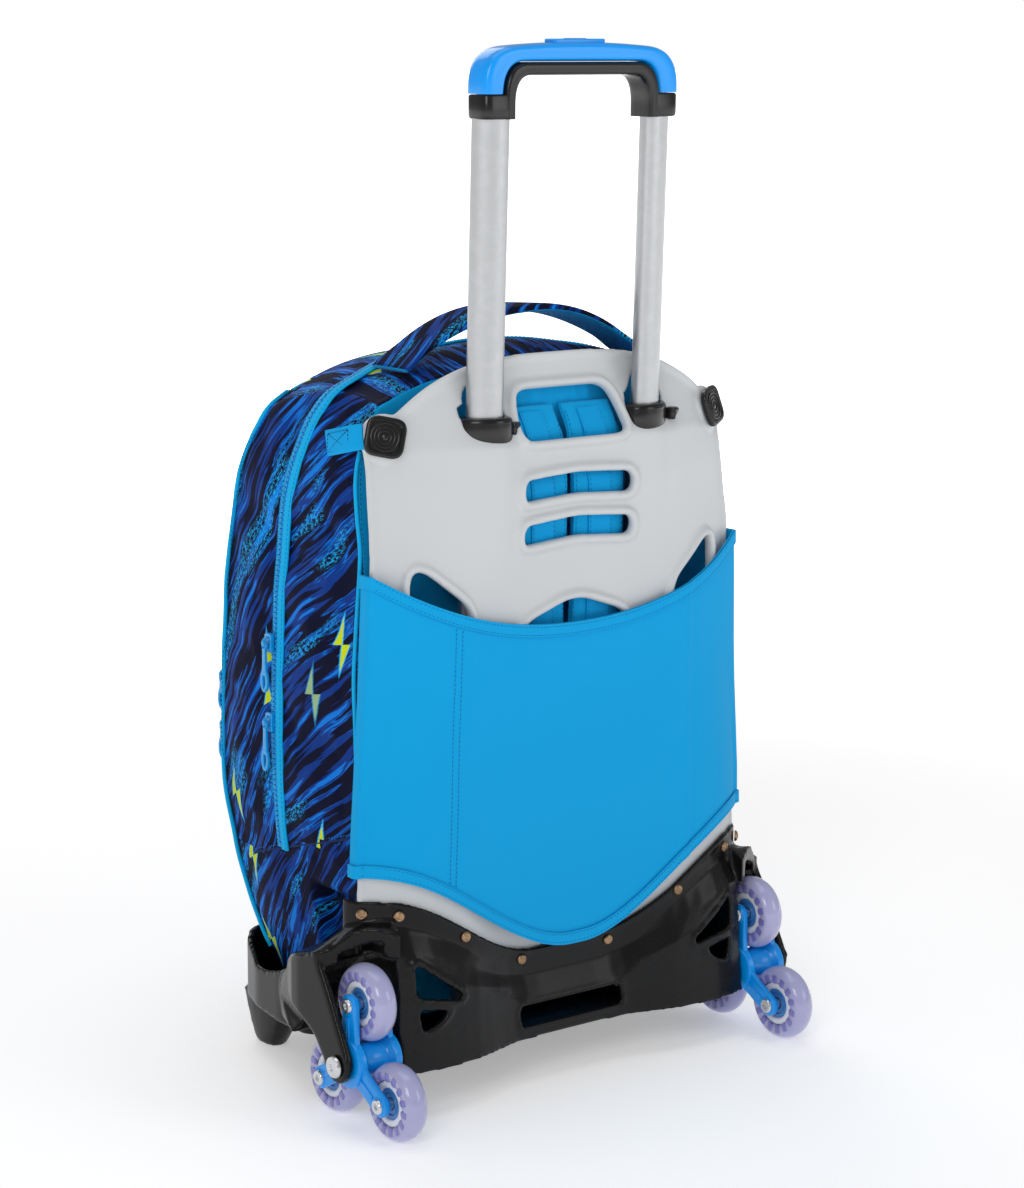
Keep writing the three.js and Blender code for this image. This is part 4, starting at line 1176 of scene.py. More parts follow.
@dataclass(frozen=True)
class BaseTray:
    """The black tray: its own moulding with rolled rims, and the rivets through its lip."""

    openings: tuple[Outline, ...] = (
        (((147, 116), (104, 85), (108, 79), (147, 87)), 6),
        (((146, 82), (115, 77), (126, 66), (142, 60)), 6),
    )
    slot: Outline = (((-48, 42.5), (48, 42.5), (48, 60.2), (-48, 60.2)), 4)
    rivets: tuple[tuple[float, float], ...] = ((40, 92.3), (98, 122.5), (150, 144.8))
    corner_rivet: tuple[float, float, float] = (172.7, 50.8, 147.0)
    voxel: float = 1.75 * MM
    arm: Outline = (((22.6, 48), (24.4, 56), (57.5, 116), (59, 134), (69, 131), (98, 113), (118, 97),
                     (122, 84), (92, 76), (66, 64), (47, 41), (36, 35.6), (26.5, 39.5)), 7)
    arm_edge: Stations = ((44, 39.5), (47, 41.5), (66, 64), (90, 75.5))
    arm_x: Stations = ((84, 204.6), (94, 203), (106, 198), (118, 191.5), (130, 186))
    roof_from: float = 177.0

    def arm_plate(self, bm: bmesh.types.BMesh, side: int) -> None:
        """The broad arm of a wheel housing, from the hub pin up to the tray's side wall."""
        line = spaced(rounded(*self.arm), 2.5, closed=True)
        low, high = min(p.x for p in line), max(p.x for p in line)
        rows = 44
        rings = []
        for i in range(rows + 1):
            y = mix(low + 0.2, high - 0.2, i / rows)
            ends = []
            for p, q in zip(line, [*line[1:], line[0]]):
                if (p.x - y) * (q.x - y) < 0:
                    ends.append(mix(p.y, q.y, (y - p.x) / (q.x - p.x)))
            x = along(self.arm_x, y)
            bottom, top = min(ends), max(ends)
            rings.append([at(side * (x - inner), y, mix(bottom, top, share))
                          for inner, share in ((0, 0), (0, 0.5), (0, 1), (6, 1), (6, 0.5), (6, 0))])
        loft(bm, rings)

    def lowered(self, bm: bmesh.types.BMesh) -> None:
        """Rounds the housings' roofs down towards their outer edges."""
        for v in bm.verts:
            out = abs(v.co.x / MM) - self.roof_from
            z = v.co.z / MM
            if out > 0 and z > 106:
                drop = min(14.0, 9 * (out / 15) ** 1.5)
                v.co.z = (z - drop * smooth((z - 106) / 32)) * MM

    def trimmed(self, bm: bmesh.types.BMesh) -> None:
        """Draws the moulding up to the lower edge of the housings' arms."""
        for v in bm.verts:
            x, y, z = abs(v.co.x / MM), v.co.y / MM + ORIGIN_Y, v.co.z / MM
            if x > 190 and 44 < y < 90:
                v.co.z = max(z, along(self.arm_edge, y)) * MM

    def rim(self, bm: bmesh.types.BMesh, outline: Outline) -> None:
        """A rolled rim round an opening of the front wall."""
        path = spaced(rounded(*outline), 2.0, closed=True)
        placed = [MOULD.on(MOULD.tray_y, p.x, p.y, -1.2) for p in path]
        sweep(bm, [p for p, _ in placed], [n for _, n in placed], oval(4.4 * MM, 6.0 * MM, 10),
              closed=True)

    def rivet(self, name: str, point: Vector, normal: Vector) -> None:
        """A domed rivet head with its flange."""
        bm = bmesh.new()
        turned(bm, ((0, 2.3), (0.9, 2.25), (1.5, 1.75), (2.3, 1.9), (3.2, 1.45), (3.9, 0.75), (4.1, 0.3),
                    (4.1, -0.6), (0, -0.6)), point, normal, 32)
        piece(name + "_head", bm, [BRONZE.build()], "trolley", [name])

    def build(self) -> None:
        """Makes the tray and its rivets."""
        bm = bmesh.new()
        bm.from_mesh(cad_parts["base_tray"].data)
        bmesh.ops.remove_doubles(bm, verts=bm.verts, dist=2e-6)
        for _, side in SIDES:
            self.arm_plate(bm, side)
        self.lowered(bm)
        for outline in (*self.openings, *map(mirrored, self.openings), self.slot):
            self.rim(bm, outline)
        lip = [Vector((x, MOULD.lip_z(x) - 1.2)) for x in range(-156, 157, 3)]
        placed = [MOULD.on(MOULD.tray_y, p.x, p.y, -1.0) for p in lip]
        sweep(bm, [p for p, _ in placed], [n for _, n in placed], oval(4.0 * MM, 4.6 * MM, 10))
        done = moulded(bm, self.voxel, 5, 190000)
        self.trimmed(done)
        piece("tray_moulding", done, [TRAY.build()], "trolley", ["base_tray"], Shade.SOFT)
        for name, side in SIDES:
            for i, (x, z) in enumerate(self.rivets):
                point, normal = MOULD.on(MOULD.tray_y, side * x, z, 0.6)
                self.rivet(f"{name}_rivet_{i + 1}", point, normal)
            x, y, z = self.corner_rivet
            normal = Vector((side * 0.72, -0.69, 0)).normalized()
            self.rivet(f"{name}_rivet_4", at(side * x, y, z) - normal * 0.2 * MM, normal)


# ---- the grip ------------------------------------------------------------------------
@dataclass(frozen=True)
class Grip:
    """The arched grip: black legs and inner band, blue cover, release button."""

    y: float = 39.4
    half: float = 12.0
    leg_out: float = 85.3
    leg_in: float = 58.5
    bottom: float = 690.0
    split: float = 706.5
    inner_top: float = 719.0
    band: float = 9.0
    shoulder: float = 738.0
    crown: float = 741.3
    button: tuple[float, float, float, float] = (23.0, 6.0, 735.3, 743.6)

    def arch(self, half: float, top: float, radius: float, rise: float, low: float) -> list[Vector]:
        """A line up one leg, over the top and down the other, in X and Z."""
        deep = low - 3 * radius
        points = [(-half, deep), (-half, top), (-30, top + rise), (30, top + rise), (half, top),
                  (half, deep)]
        above = [p for p in rounded(points, radius, 16) if p.y > low + 0.01]
        return spaced([Vector((-half, low)), *above, Vector((half, low))], 1.2)

    def between(self, inner: list[Vector], outer: list[Vector], low: float, high: float, half: float,
                square: float) -> bmesh.types.BMesh:
        """A bar that fills the room between two arches.

        Args:
            inner: the lower arch.
            outer: the upper arch.
            low: where the bar starts between them, from 0 to 1.
            high: where it ends.
            half: half its depth along Y, in millimetres.
            square: how square its section is.

        Returns:
            The bar's mesh.
        """
        count = 110
        a, b = (self.share_out(line, count) for line in (inner, outer))
        section = oval(1.0, 2 * half, 32, square)
        rings = []
        for p, q in zip(a, b):
            rings.append([at(*self.ruled(p, q, mix(low, high, s + 0.5), y)) for s, y in section])
        bm = bmesh.new()
        loft(bm, rings)
        return bm

    def share_out(self, line: list[Vector], count: int) -> list[Vector]:
        """The same number of points on each arch, the middle of one facing the other's."""
        length = sum((b - a).length for a, b in zip(line, line[1:]))
        return spaced(line, length / count)[:count] + [line[-1]]

    def ruled(self, p: Vector, q: Vector, share: float, y: float) -> tuple[float, float, float]:
        """The workshop point at a share of the way from p to q."""
        spot = p.lerp(q, share)
        return spot.x, self.y + y, spot.y

    def build(self) -> None:
        """Makes body, cover and button."""
        gap = 0.4
        edge = self.band
        lower_in = self.arch(self.leg_in, self.inner_top, 20, 0, self.bottom)
        lower_out = self.arch(self.leg_in + edge, self.inner_top + edge, 24, 0, self.bottom)
        body = self.between(lower_in, lower_out, 0, 1, self.half, 5.0)
        for _, side in SIDES:
            middle = (self.leg_out + self.leg_in) / 2
            wide = (self.leg_out - self.leg_in) / 2
            rings = []
            for cut, z in ((2.2, self.bottom), (0.8, self.bottom + 0.5), (0.2, self.bottom + 1.4),
                           (0, self.bottom + 3), (0, self.split - 1.2), (0.5, self.split - 0.2),
                           (1.0, self.split)):
                rings.append([at(side * middle + x / MM, self.y + y / MM, z)
                              for x, y in oval(2 * (wide - cut) * MM, 2 * (self.half - cut) * MM, 40, 4.2)])
            loft(body, rings)
        piece("grip_frame", body, [BLACK.build()], "handle", ["grip_body"])
        inner = self.arch(self.leg_in + edge + gap, self.inner_top + edge + gap, 24, 0, self.split + gap)
        outer = self.arch(self.leg_out, self.shoulder - 1, 26, self.crown - self.shoulder + 1,
                          self.split + gap)
        cover = self.between(inner, outer, 0, 1, self.half, 4.0)
        piece("grip_shell", cover, [BLUE.build()], "handle", ["grip_cover"])
        half_x, half_y, low, high = self.button
        bm = bmesh.new()
        outline = rounded(((-half_x, -half_y), (half_x, -half_y), (half_x, half_y), (-half_x, half_y)), 3)
        prism(bm, outline, lambda x, y: at(x, self.y + y, low), Vector((0, 0, (high - low) * MM)),
              0.9 * MM)
        for k in (-1, 0, 1):
            made = bmesh.ops.create_cube(bm, size=1, matrix=Matrix.Translation(
                at(k * 6.0, self.y, high - 0.05)) @ Matrix.Diagonal((2.2 * MM, 8 * MM, 0.9 * MM, 1)))
            edges = list({e for v in made["verts"] for e in v.link_edges})
            bmesh.ops.bevel(bm, geom=edges, offset=0.4 * MM, segments=2, profile=0.5, affect="EDGES",
                            material=-1)
        piece("release_button", bm, [BLUE.build()], "button", ["handle_button"])


# ---- stair spiders and wheels --------------------------------------------------------
@dataclass(frozen=True)
class Wheel:
    """One stair wheel: clear tyre over a toothed core with a bearing."""

    radius: float = 27.5
    half: float = 9.0
    core: float = 16.2
    bearing: float = 11.0
    axle: float = 4.0
    tabs: int = 15
    tab_reach: float = 22.6
    tab_half: float = 2.4

    def tyre(self, centre: Vector) -> bmesh.types.BMesh:
        """The tyre, with a rounded tread, soft shoulders and a step down to the core."""
        bm = bmesh.new()
        r, h, core = self.radius, self.half, self.core + 0.3
        side = [(core, h - 1.3), (core + 0.8, h - 0.6), (18.6, h - 0.2), (21.6, h), (23.2, h - 0.4),
                (24.7, h - 1.5), (25.9, h - 3.2), (26.8, h - 5.2), (27.3, h - 7.2)]
        profile = side + [(r, 0.0)] + [(p, -a) for p, a in reversed(side)]
        turned(bm, profile, centre, Vector((1, 0, 0)), 72)
        return bm

    def core_piece(self, centre: Vector) -> bmesh.types.BMesh:
        """The core: a white ring round a coloured bearing, with tabs that grip the tyre."""
        bm = bmesh.new()
        axis = Vector((1, 0, 0))
        bore, ring, rim = self.axle + 0.25, self.bearing, self.core
        face = [(ring, 6.2), (ring + 0.7, 7.2), (ring + 1.8, 7.6), (rim - 1.4, 7.6), (rim - 0.4, 7.1),
                (rim, 6.2)]
        turned(bm, face + [(p, -a) for p, a in reversed(face)], centre, axis, 64)
        bearing = [(bore, 5.2), (bore + 0.5, 5.8), (7.0, 5.8), (7.4, 5.2), (8.0, 5.2), (8.4, 6.2),
                   (10.6, 6.2), (ring - 0.02, 5.7)]
        turned(bm, bearing + [(p, -a) for p, a in reversed(bearing)], centre, axis, 48, material=1)
        low, high, wide = self.core + 0.1, self.tab_reach, self.tab_half
        outline = rounded(((-wide, low), (wide, low), (wide + 0.3, high), (-wide - 0.3, high)), 1.7, 4)
        for k in range(self.tabs):
            turn = Matrix.Rotation(2 * math.pi * k / self.tabs, 3, "X")
            for face in (-1, 1):
                prism(bm, outline,
                      lambda a, b, t=turn, s=face: centre + t @ Vector((s * (self.half - 2), a, b)) * MM,
                      Vector((face * 2.12 * MM, 0, 0)), 0.3 * MM, 2, material=2)
        return bm

    def build(self, name: str, side: int, spot: str, centre: Vector) -> None:
        """Makes one wheel."""
        body = f"{name}_{spot}_wheel"
        piece(f"{name}_{spot}_tyre_cast", self.tyre(centre), [TYRE.build()], body,
              [f"{name}_{spot}_tyre"])
        piece(f"{name}_{spot}_hub", self.core_piece(centre),
              [CORE.build(), BEARING.build(), TAB.build()], body, [f"{name}_{spot}_core"])


@dataclass(frozen=True)
class Spider:
    """A three-armed wheel carrier: two plates on a barrel, with bolts at the arms' ends."""

    x: float = 178.4
    y: float = 35.85
    z: float = 48.2
    arm: float = 41.4
    plate_in: float = 11.5
    plate_out: float = 16.0
    boss: float = 17.5
    boss_out: float = 18.5
    barrel: float = 12.6
    arm_half: float = 8.0
    spots: tuple[tuple[str, float], ...] = (("front", 210.0), ("upper", 90.0), ("rear", -30.0))
    hub: tuple[float, float] = (146.0, 209.0)
    fender_x: float = 205.0

    def star(self, shrink: float = 0.0) -> list[Vector]:
        """The plates' outline in Y and Z about the hub."""
        half = self.arm_half - shrink
        found: list[Vector] = []
        for _, degrees in self.spots:
            angle = math.radians(degrees)
            d = Vector((math.cos(angle), math.sin(angle)))
            n = Vector((d.y, -d.x))
            found.append(d * 15.5 - n * (half + 0.6))
            found.append(d * 22 - n * half)
            for k in range(15):
                a = angle + math.pi / 2 - math.pi * k / 14
                found.append(d * self.arm + Vector((math.cos(a), math.sin(a))) * half)
            found.append(d * 22 + n * half)
            found.append(d * 15.5 + n * (half + 0.6))
            after = angle - math.pi / 3
            for k in (-1, 0, 1):
                a = after + k * -0.22
                found.append(Vector((math.cos(a), math.sin(a))) * (13.2 - shrink))
        return found

    def carrier(self, side: int) -> bmesh.types.BMesh:
        """Both plates, the barrel and the ribs."""
        bm = bmesh.new()
        centre = at(side * self.x, self.y, self.z)
        for face in (-1, 1):
            start = self.plate_in if face > 0 else -self.plate_out
            prism(bm, self.star(), lambda y, z, s=start: centre + Vector((s, y, z)) * MM,
                  Vector(((self.plate_out - self.plate_in) * MM, 0, 0)), 1.1 * MM)
            for _, degrees in self.spots:
                angle = math.radians(degrees)
                d = Vector((0, math.cos(angle), math.sin(angle)))
                tip = centre + d * self.arm * MM
                out = Vector((face, 0, 0))
                turned(bm, ((4.3, 15.0), (4.3, 16.6), (6.4, 16.6), (7.0, 16.0), (7.0, 15.0)), tip, out, 32)
                turned(bm, ((4.3, 12.0), (4.3, 9.6), (5.4, 9.4), (6.2, 12.0)), tip, out, 24)
                rib = centre + d * 25 * MM + out * 16.2 * MM
                turn = Matrix.Rotation(angle, 4, "X")
                made = bmesh.ops.create_cube(bm, size=1, matrix=Matrix.Translation(rib) @ turn
                                             @ Matrix.Diagonal((1.6 * MM, 17 * MM, 3.2 * MM, 1)))
                edges = list({e for v in made["verts"] for e in v.link_edges})
                bmesh.ops.bevel(bm, geom=edges, offset=0.6 * MM, segments=2, profile=0.5,
                                affect="EDGES", material=-1)
        r, out, edge = self.boss, self.boss_out, self.plate_in
        half = [(5.3, out - 1.2), (7.5, out - 1.2), (8.4, out), (r - 2.2, out), (r - 0.6, out - 0.7),
                (r, out - 2.2), (r, edge + 0.6), (r - 0.8, edge - 0.4), (self.barrel + 1.2, edge - 2),
                (self.barrel, edge - 4)]
        turned(bm, half + [(p, -a) for p, a in reversed(half)], centre, Vector((1, 0, 0)), 64)
        return bm

    def bolt(self, centre: Vector) -> bmesh.types.BMesh:
        """A shouldered bolt: domed heads with a driver recess at both ends."""
        bm = bmesh.new()
        head, r, out = 16.6, 5.4, 18.5
        half = [(0, out - 1.3), (1.9, out - 1.3), (2.3, out - 0.25), (3.6, out), (4.8, out - 0.3),
                (r, out - 1.1), (r, head), (4.0, head)]
        turned(bm, half + [(p, -a) for p, a in reversed(half)], centre, Vector((1, 0, 0)), 36)
        return bm

    def hub_axle(self, side: int) -> bmesh.types.BMesh:
        """The axle through the wheel housing, with a broad domed head outside."""
        bm = bmesh.new()
        low, high = self.hub
        seat = self.fender_x + 0.5
        profile = ((0, low), (5.6, low), (6.2, low + 0.6), (6.2, low + 3.5), (5, low + 3.5), (5, seat),
                   (7.4, seat), (8, seat + 0.6), (8, seat + 1.2), (7.1, high - 0.7), (5.2, high - 0.1),
                   (2.6, high), (2.1, high - 0.9), (0, high - 0.9))
        turned(bm, profile, at(0, self.y, self.z), Vector((side, 0, 0)), 40)
        return bm

    def build(self) -> None:
        """Makes both spiders with their wheels, bolts and hub axles."""
        wheel = Wheel()
        for name, side in SIDES:
            piece(f"{name}_carrier", self.carrier(side), [BLUE.build()], f"{name}_spider",
                  [f"{name}_spider"])
            piece(f"{name}_hub_pin", self.hub_axle(side), [STEEL.build()], "trolley",
                  [f"{name}_hub_axle"])
            for spot, degrees in self.spots:
                a = math.radians(degrees)
                centre = at(side * self.x, self.y + self.arm * math.cos(a),
                            self.z + self.arm * math.sin(a))
                piece(f"{name}_{spot}_bolt", self.bolt(centre), [STEEL.build()], f"{name}_spider",
                      [f"{name}_{spot}_axle"])
                wheel.build(name, side, spot, centre)


# ---- cloth and padding ---------------------------------------------------------------
def block(cuts: int) -> bmesh.types.BMesh:
    """A cube from -1 to 1 whose faces are divided into a fine grid."""
    bm = bmesh.new()
    bmesh.ops.create_cube(bm, size=2)
    bmesh.ops.subdivide_edges(bm, edges=bm.edges, cuts=cuts, use_grid_fill=True)
    return bm


def swelled(bm: bmesh.types.BMesh, held: Callable[[Vector], bool], pressure: float, cap: float,
            spare: float = 0.0, frames: int = 16) -> None:
    """Fills a closed cloth shape with air, so that it crowns and creases between its seams.

    Args:
        bm: the shape, which is changed in place.
        held: whether a point is sewn down.
        pressure: the air's push.
        cap: the furthest that a point may move, in metres.
        spare: the share of extra cloth, which gathers into folds.
        frames: how long the cloth moves.
    """
    mesh = bpy.data.meshes.new("cloth")
    bm.to_mesh(mesh)
    obj = bpy.data.objects.new("cloth", mesh)
    bpy.context.scene.collection.objects.link(obj)
    sewn = obj.vertex_groups.new(name="sewn")
    sewn.add([i for i, v in enumerate(bm.verts) if held(v.co)], 1.0, "REPLACE")
    cloth = obj.modifiers.new("cloth", "CLOTH")
    given = cloth.settings
    given.quality, given.mass = 5, 0.25
    given.tension_stiffness = given.compression_stiffness = 18
    given.shear_stiffness, given.bending_stiffness = 8, 0.6
    given.use_pressure, given.uniform_pressure_force = True, pressure
    given.vertex_group_mass = "sewn"
    given.shrink_min = given.shrink_max = -spare
    given.effector_weights.gravity = 0.0
    cloth.collision_settings.use_collision = False
    cloth.point_cache.frame_start, cloth.point_cache.frame_end = 1, frames
    scene = bpy.context.scene
    for step in range(1, frames + 1):
        scene.frame_set(step)
    done = obj.evaluated_get(bpy.context.evaluated_depsgraph_get()).to_mesh()
    for v, moved in zip(bm.verts, done.vertices):
        shift = moved.co - v.co
        if shift.length > cap:
            shift *= cap / shift.length
        v.co += shift
    scene.frame_set(1)
    bpy.data.objects.remove(obj)
    bpy.data.meshes.remove(mesh)


def subdivided(obj: bpy.types.Object, levels: int = 1) -> bpy.types.Object:
    """Adds a subdivision surface, the same on screen and in the render."""
    modifier = obj.modifiers.new("round", "SUBSURF")
    modifier.levels = modifier.render_levels = levels
    return obj


def lay_on(tree: BVHTree, points: Sequence[Vector]) -> tuple[list[Vector], list[Vector]]:
    """The nearest places on a surface to some points, with the surface's normals there."""
    found, ups = [], []
    for p in points:
        spot, normal, _, _ = tree.find_nearest(p)
        found.append(spot)
        ups.append(normal.normalized())
    for _ in range(4):
        ups = [(a + b * 2 + c).normalized() for a, b, c in zip([ups[0], *ups], ups, [*ups[1:], ups[-1]])]
    for _ in range(3):
        found[1:-1] = [(a + b * 2 + c) / 4 for a, b, c in zip(found, found[1:], found[2:])]
    return found, ups


@dataclass(frozen=True)
class ZipRun:
    """A zip as sewn work: tape, coil and the folded cyan flap beside it."""

    tape: float = 13.0
    coil: float = 5.4
    flap: float = 9.5
    tooth: float = 1.9

    def build(self, name: str, path: Sequence[Vector], ups: Sequence[Vector], flap_side: int) -> None:
        """Makes the zip along a path.

        Args:
            name: the start of the pieces' names.
            path: the coil's middle line.
            ups: the surface's normals.
            flap_side: 1 where the flap lies to the right of the path, seen from outside.
        """
        shift = []
        for i, (p, up) in enumerate(zip(path, ups)):
            run = (path[min(i + 1, len(path) - 1)] - path[max(i - 1, 0)]).normalized()
            shift.append(run.cross(up).normalized() * flap_side)
        bm = bmesh.new()
        middle = [p + s * 1.5 * MM for p, s in zip(path, shift)]
        sweep(bm, middle, ups, oval(self.tape * MM, 1.0 * MM, 12, 5), lift=0.5 * MM)
        seam = [p - s * 4.2 * MM + u * 1.15 * MM for p, s, u in zip(path, shift, ups)]
        stitches(bm, seam, ups, material=1)
        piece(f"{name}_zip_tape", bm, [PIPING.build(), THREAD.build()], "trolley")
        bm = bmesh.new()
        flap = [p + s * (self.coil / 2 + self.flap / 2 + 0.6) * MM for p, s in zip(path, shift)]
        sweep(bm, flap, ups, oval(self.flap * MM, 2.8 * MM, 16, 2.8), lift=1.5 * MM)
        for k in (-0.33, 0.33):
            row = [p + s * k * self.flap * MM + u * 2.75 * MM for p, s, u in zip(flap, shift, ups)]
            stitches(bm, row, ups, material=1)
        piece(f"{name}_zip_flap", bm, [PIPING.build(), THREAD.build()], "trolley")
        bm = bmesh.new()
        spots = spaced(path, self.tooth * MM)
        for k, (a, b) in enumerate(zip(spots, spots[1:])):
            near = min(range(len(path)), key=lambda i: (path[i] - a).length_squared)
            up, run = ups[near], (b - a).normalized()
            across = run.cross(up).normalized()
            lean = (run + across * (0.28 if k % 2 else -0.28)).normalized()
            side = lean.cross(up).normalized()
            turn = Matrix((side, lean, side.cross(lean))).transposed().to_4x4()
            bmesh.ops.create_icosphere(
                bm, subdivisions=1, radius=1,
                matrix=Matrix.Translation(a + up * 1.5 * MM) @ turn
                @ Matrix.Diagonal((self.coil / 2 * MM, 0.78 * MM, 0.95 * MM, 1)))
        piece(f"{name}_zip_coil", bm, [ZIP.build()], "trolley", shade=Shade.SOFT)


@dataclass(frozen=True)
class Bag:
    """The printed bag: a stuffed shell with seams, piping, the main zip and a pocket."""

    bottom: float = 47.0
    top: float = 527.0
    front: Stations = ((47, 226), (77, 250), (137, 275), (200, 286), (260, 286), (358, 284),
                       (430, 270), (480, 245), (507, 235), (527, 222))
    half: Stations = ((47, 148), (60, 156), (100, 162), (150, 169.5), (300, 168), (400, 163),
                      (450, 160.5), (480, 152.5), (500, 140), (510, 131), (519, 118), (527, 84))
    cuts: int = 62
    softness: float = 0.10
    zip_line: tuple[tuple[float, float, float], ...] = (
        (167, 163, 169), (167, 166, 225), (167, 168, 261), (166, 168, 319), (163, 169, 366),
        (160, 165, 423), (157, 157, 452), (152, 151, 473), (143, 145, 490), (130, 139, 504),
        (110, 142, 513), (90, 148, 519), (45, 160, 525), (0, 165, 527),
    )
    over: Stations = ((0, 165), (90, 148), (130, 139), (150, 150))
    zip_end: float = 160.0
    seam: tuple[tuple[float, float], ...] = ((206, 155), (67, 197))

    def surface(self, u: float, s: float, z: float) -> tuple[float, float, float]:
        """The workshop point of the bag's skin at u across, s from back to front, height z."""
        free = smooth((z - 150) / 50)
        half = along(self.half, z) * (1 - mix(0.08, 0.06, free) * s * s)
        back = 73 - 11 * abs(u) ** 4 * (1 - smooth((z - 380) / 60)) + 3 * smooth((z - 420) / 40)
        front = along(self.front, z) - mix(36 * abs(u) ** 5, 34 * abs(u) ** 5.2, free)
        return u * half, mix(back, front, s), z

    def crown(self, u: float, s: float) -> float:
        """The height of the bag's top at u, s."""
        hump = 5 * (1 - s / 0.35) ** 2 if s < 0.35 else 20 * ((s - 0.35) / 0.65) ** 2
        return self.top - hump - 21.6 * abs(u) ** 5

    def skin_point(self, p: Vector) -> Vector:
        """Where a point of the unit cube goes on the bag, its corners eased."""
        a, b, c = (q * q for q in p)
        k = self.softness
        u = p.x * math.sqrt(1 - k * (b + c) / 2 + k * b * c / 3)
        v = p.y * math.sqrt(1 - k * (a + c) / 2 + k * a * c / 3)
        w = p.z * math.sqrt(1 - k * (a + b) / 2 + k * a * b / 3)
        s = (v + 1) / 2
        z = mix(self.bottom, self.crown(u, s), (w + 1) / 2)
        x, y, z = self.surface(u, s, z)
        # Packed books and soft things press here and there, and the cloth sags a little low down.
        lump = noise.noise(Vector((x, y, z)) * 0.011) * 5.0 + noise.noise(Vector((x, y, z)) * 0.03) * 1.3
        free = (1 - smooth((abs(p.x) - 0.75) / 0.25)) if abs(p.y) > 0.99 else 1.0
        sag = 2.5 * math.exp(-(((z - 150) / 70) ** 2))
        if abs(p.x) > 0.99:
            x += math.copysign(lump * 0.45 + sag * 0.5 - 1.5, p.x)
        elif p.y > 0.99:
            y += (lump * 0.7 + sag) * free - 2.0
        elif p.z > 0.99:
            z += lump * 0.5 - 0.5
        return at(x, y, z)

    def seam_z(self, y: float) -> float:
        """The height of the lower side seam at workshop Y."""
        (y0, z0), (y1, z1) = self.seam
        return mix(z0, z1, clamp01((y - y0) / (y1 - y0)))

    def zip_y(self, z: float) -> float:
        """The workshop Y of the main zip's line at height z."""
        return along([(p[2], p[1]) for p in self.zip_line], z)

    def shell(self) -> bmesh.types.BMesh:
        """The bag's skin, swelled between its seams."""
        bm = block(self.cuts)
        uv = bm.loops.layers.uv.new("UVMap")
        for f in bm.faces:
            n = f.normal.copy()
            f.material_index = 1 if n.y < -0.9 else 0
            for loop in f.loops:
                p = self.skin_point(loop.vert.co)
                middle = self.skin_point(f.calc_center_median()) / MM
                y, z = middle.y + ORIGIN_Y, middle.z
                if abs(n.x) > 0.9:
                    flat = Vector((-p.y * math.copysign(1, -n.x), p.z))
                    if z < self.seam_z(y):
                        flat = Matrix.Rotation(-0.30, 2) @ flat + Vector((0.31, 0.17))
                    elif y > self.zip_y(z):
                        flat = Matrix.Rotation(-0.38, 2) @ flat + Vector((0.12, 0.43))
                elif abs(n.z) > 0.9:
                    flat = Matrix.Rotation(-0.9, 2) @ Vector((p.x, p.y)) + Vector((0.6, 0.2))
                else:
                    flat = Vector((-p.x, p.z)) + Vector((0.9, 0.0))
                loop[uv].uv = flat
        for v in bm.verts:
            v.co = self.skin_point(v.co)
        self.bite(bm)
        bmesh.ops.recalc_face_normals(bm, faces=bm.faces)
        swelled(bm, self.sewn, 2.6, 5.0 * MM, 0.012)
        return bm

    def bite(self, bm: bmesh.types.BMesh) -> None:
        """Presses the lower back corners in round the wheel housings and into the tray."""
        for v in bm.verts:
            p = v.co / MM
            y = p.y + ORIGIN_Y
            low = 1 - smooth((p.z - 146) / 16)
            inward = 1 - smooth((y - 118) / 22)
            limit = mix(400, 148.0, low * inward)
            if abs(p.x) > limit:
                v.co.x = math.copysign(limit, p.x) * MM
            if p.z < 80:
                v.co.x *= 0.985

    def sewn(self, p: Vector) -> bool:
        """Whether a point of the skin is on a seam, in the tray or behind the panel."""
        x, y, z = p.x / MM, p.y / MM + ORIGIN_Y, p.z / MM
        if z < 92 or y < 84 or (z < 170 and y < 140 and abs(x) > 130):
            return True
        if abs(x) > 120 and z < 495:
            return (abs(y - self.zip_y(z)) < 5 and z > self.zip_end) or (
                abs(z - self.seam_z(y)) < 2.5 and y < 214) or y > along(self.front, z) - 40
        return z > 430 and abs(y - along(self.over, abs(x))) < 5

    def edge_line(self, low: float) -> list[Vector]:
        """The line where sides and top meet the front: up, over and down."""
        side = [self.skin_point(Vector((1, 1, k / 10))) for k in range(-10, 10)]
        side = [p for p in side if p.z > low * MM]
        top = [self.skin_point(Vector((1 - k / 12, 1, 1))) for k in range(13)]
        half = side + top
        return half + [Vector((-p.x, p.y, p.z)) for p in reversed(half[:-1])]

    def piping(self, name: str, tree: BVHTree, points: Sequence[Vector], radius: float = 1.7) -> None:
        """A cyan cord sewn along a line on the bag."""
        path, ups = lay_on(tree, curved(points, 5 * MM))
        bm = bmesh.new()
        sweep(bm, path, ups, oval(2 * radius * MM, 2 * radius * MM, 10), lift=radius * 0.55 * MM)
        for k in (-1, 1):
            row = []
            for i, (p, up) in enumerate(zip(path, ups)):
                run = (path[min(i + 1, len(path) - 1)] - path[max(i - 1, 0)]).normalized()
                row.append(p + run.cross(up).normalized() * k * (radius + 2.0) * MM + up * 0.15 * MM)
            stitches(bm, row, ups, material=1)
        piece(name, bm, [PIPING.build(), DARK_THREAD.build()], "trolley")

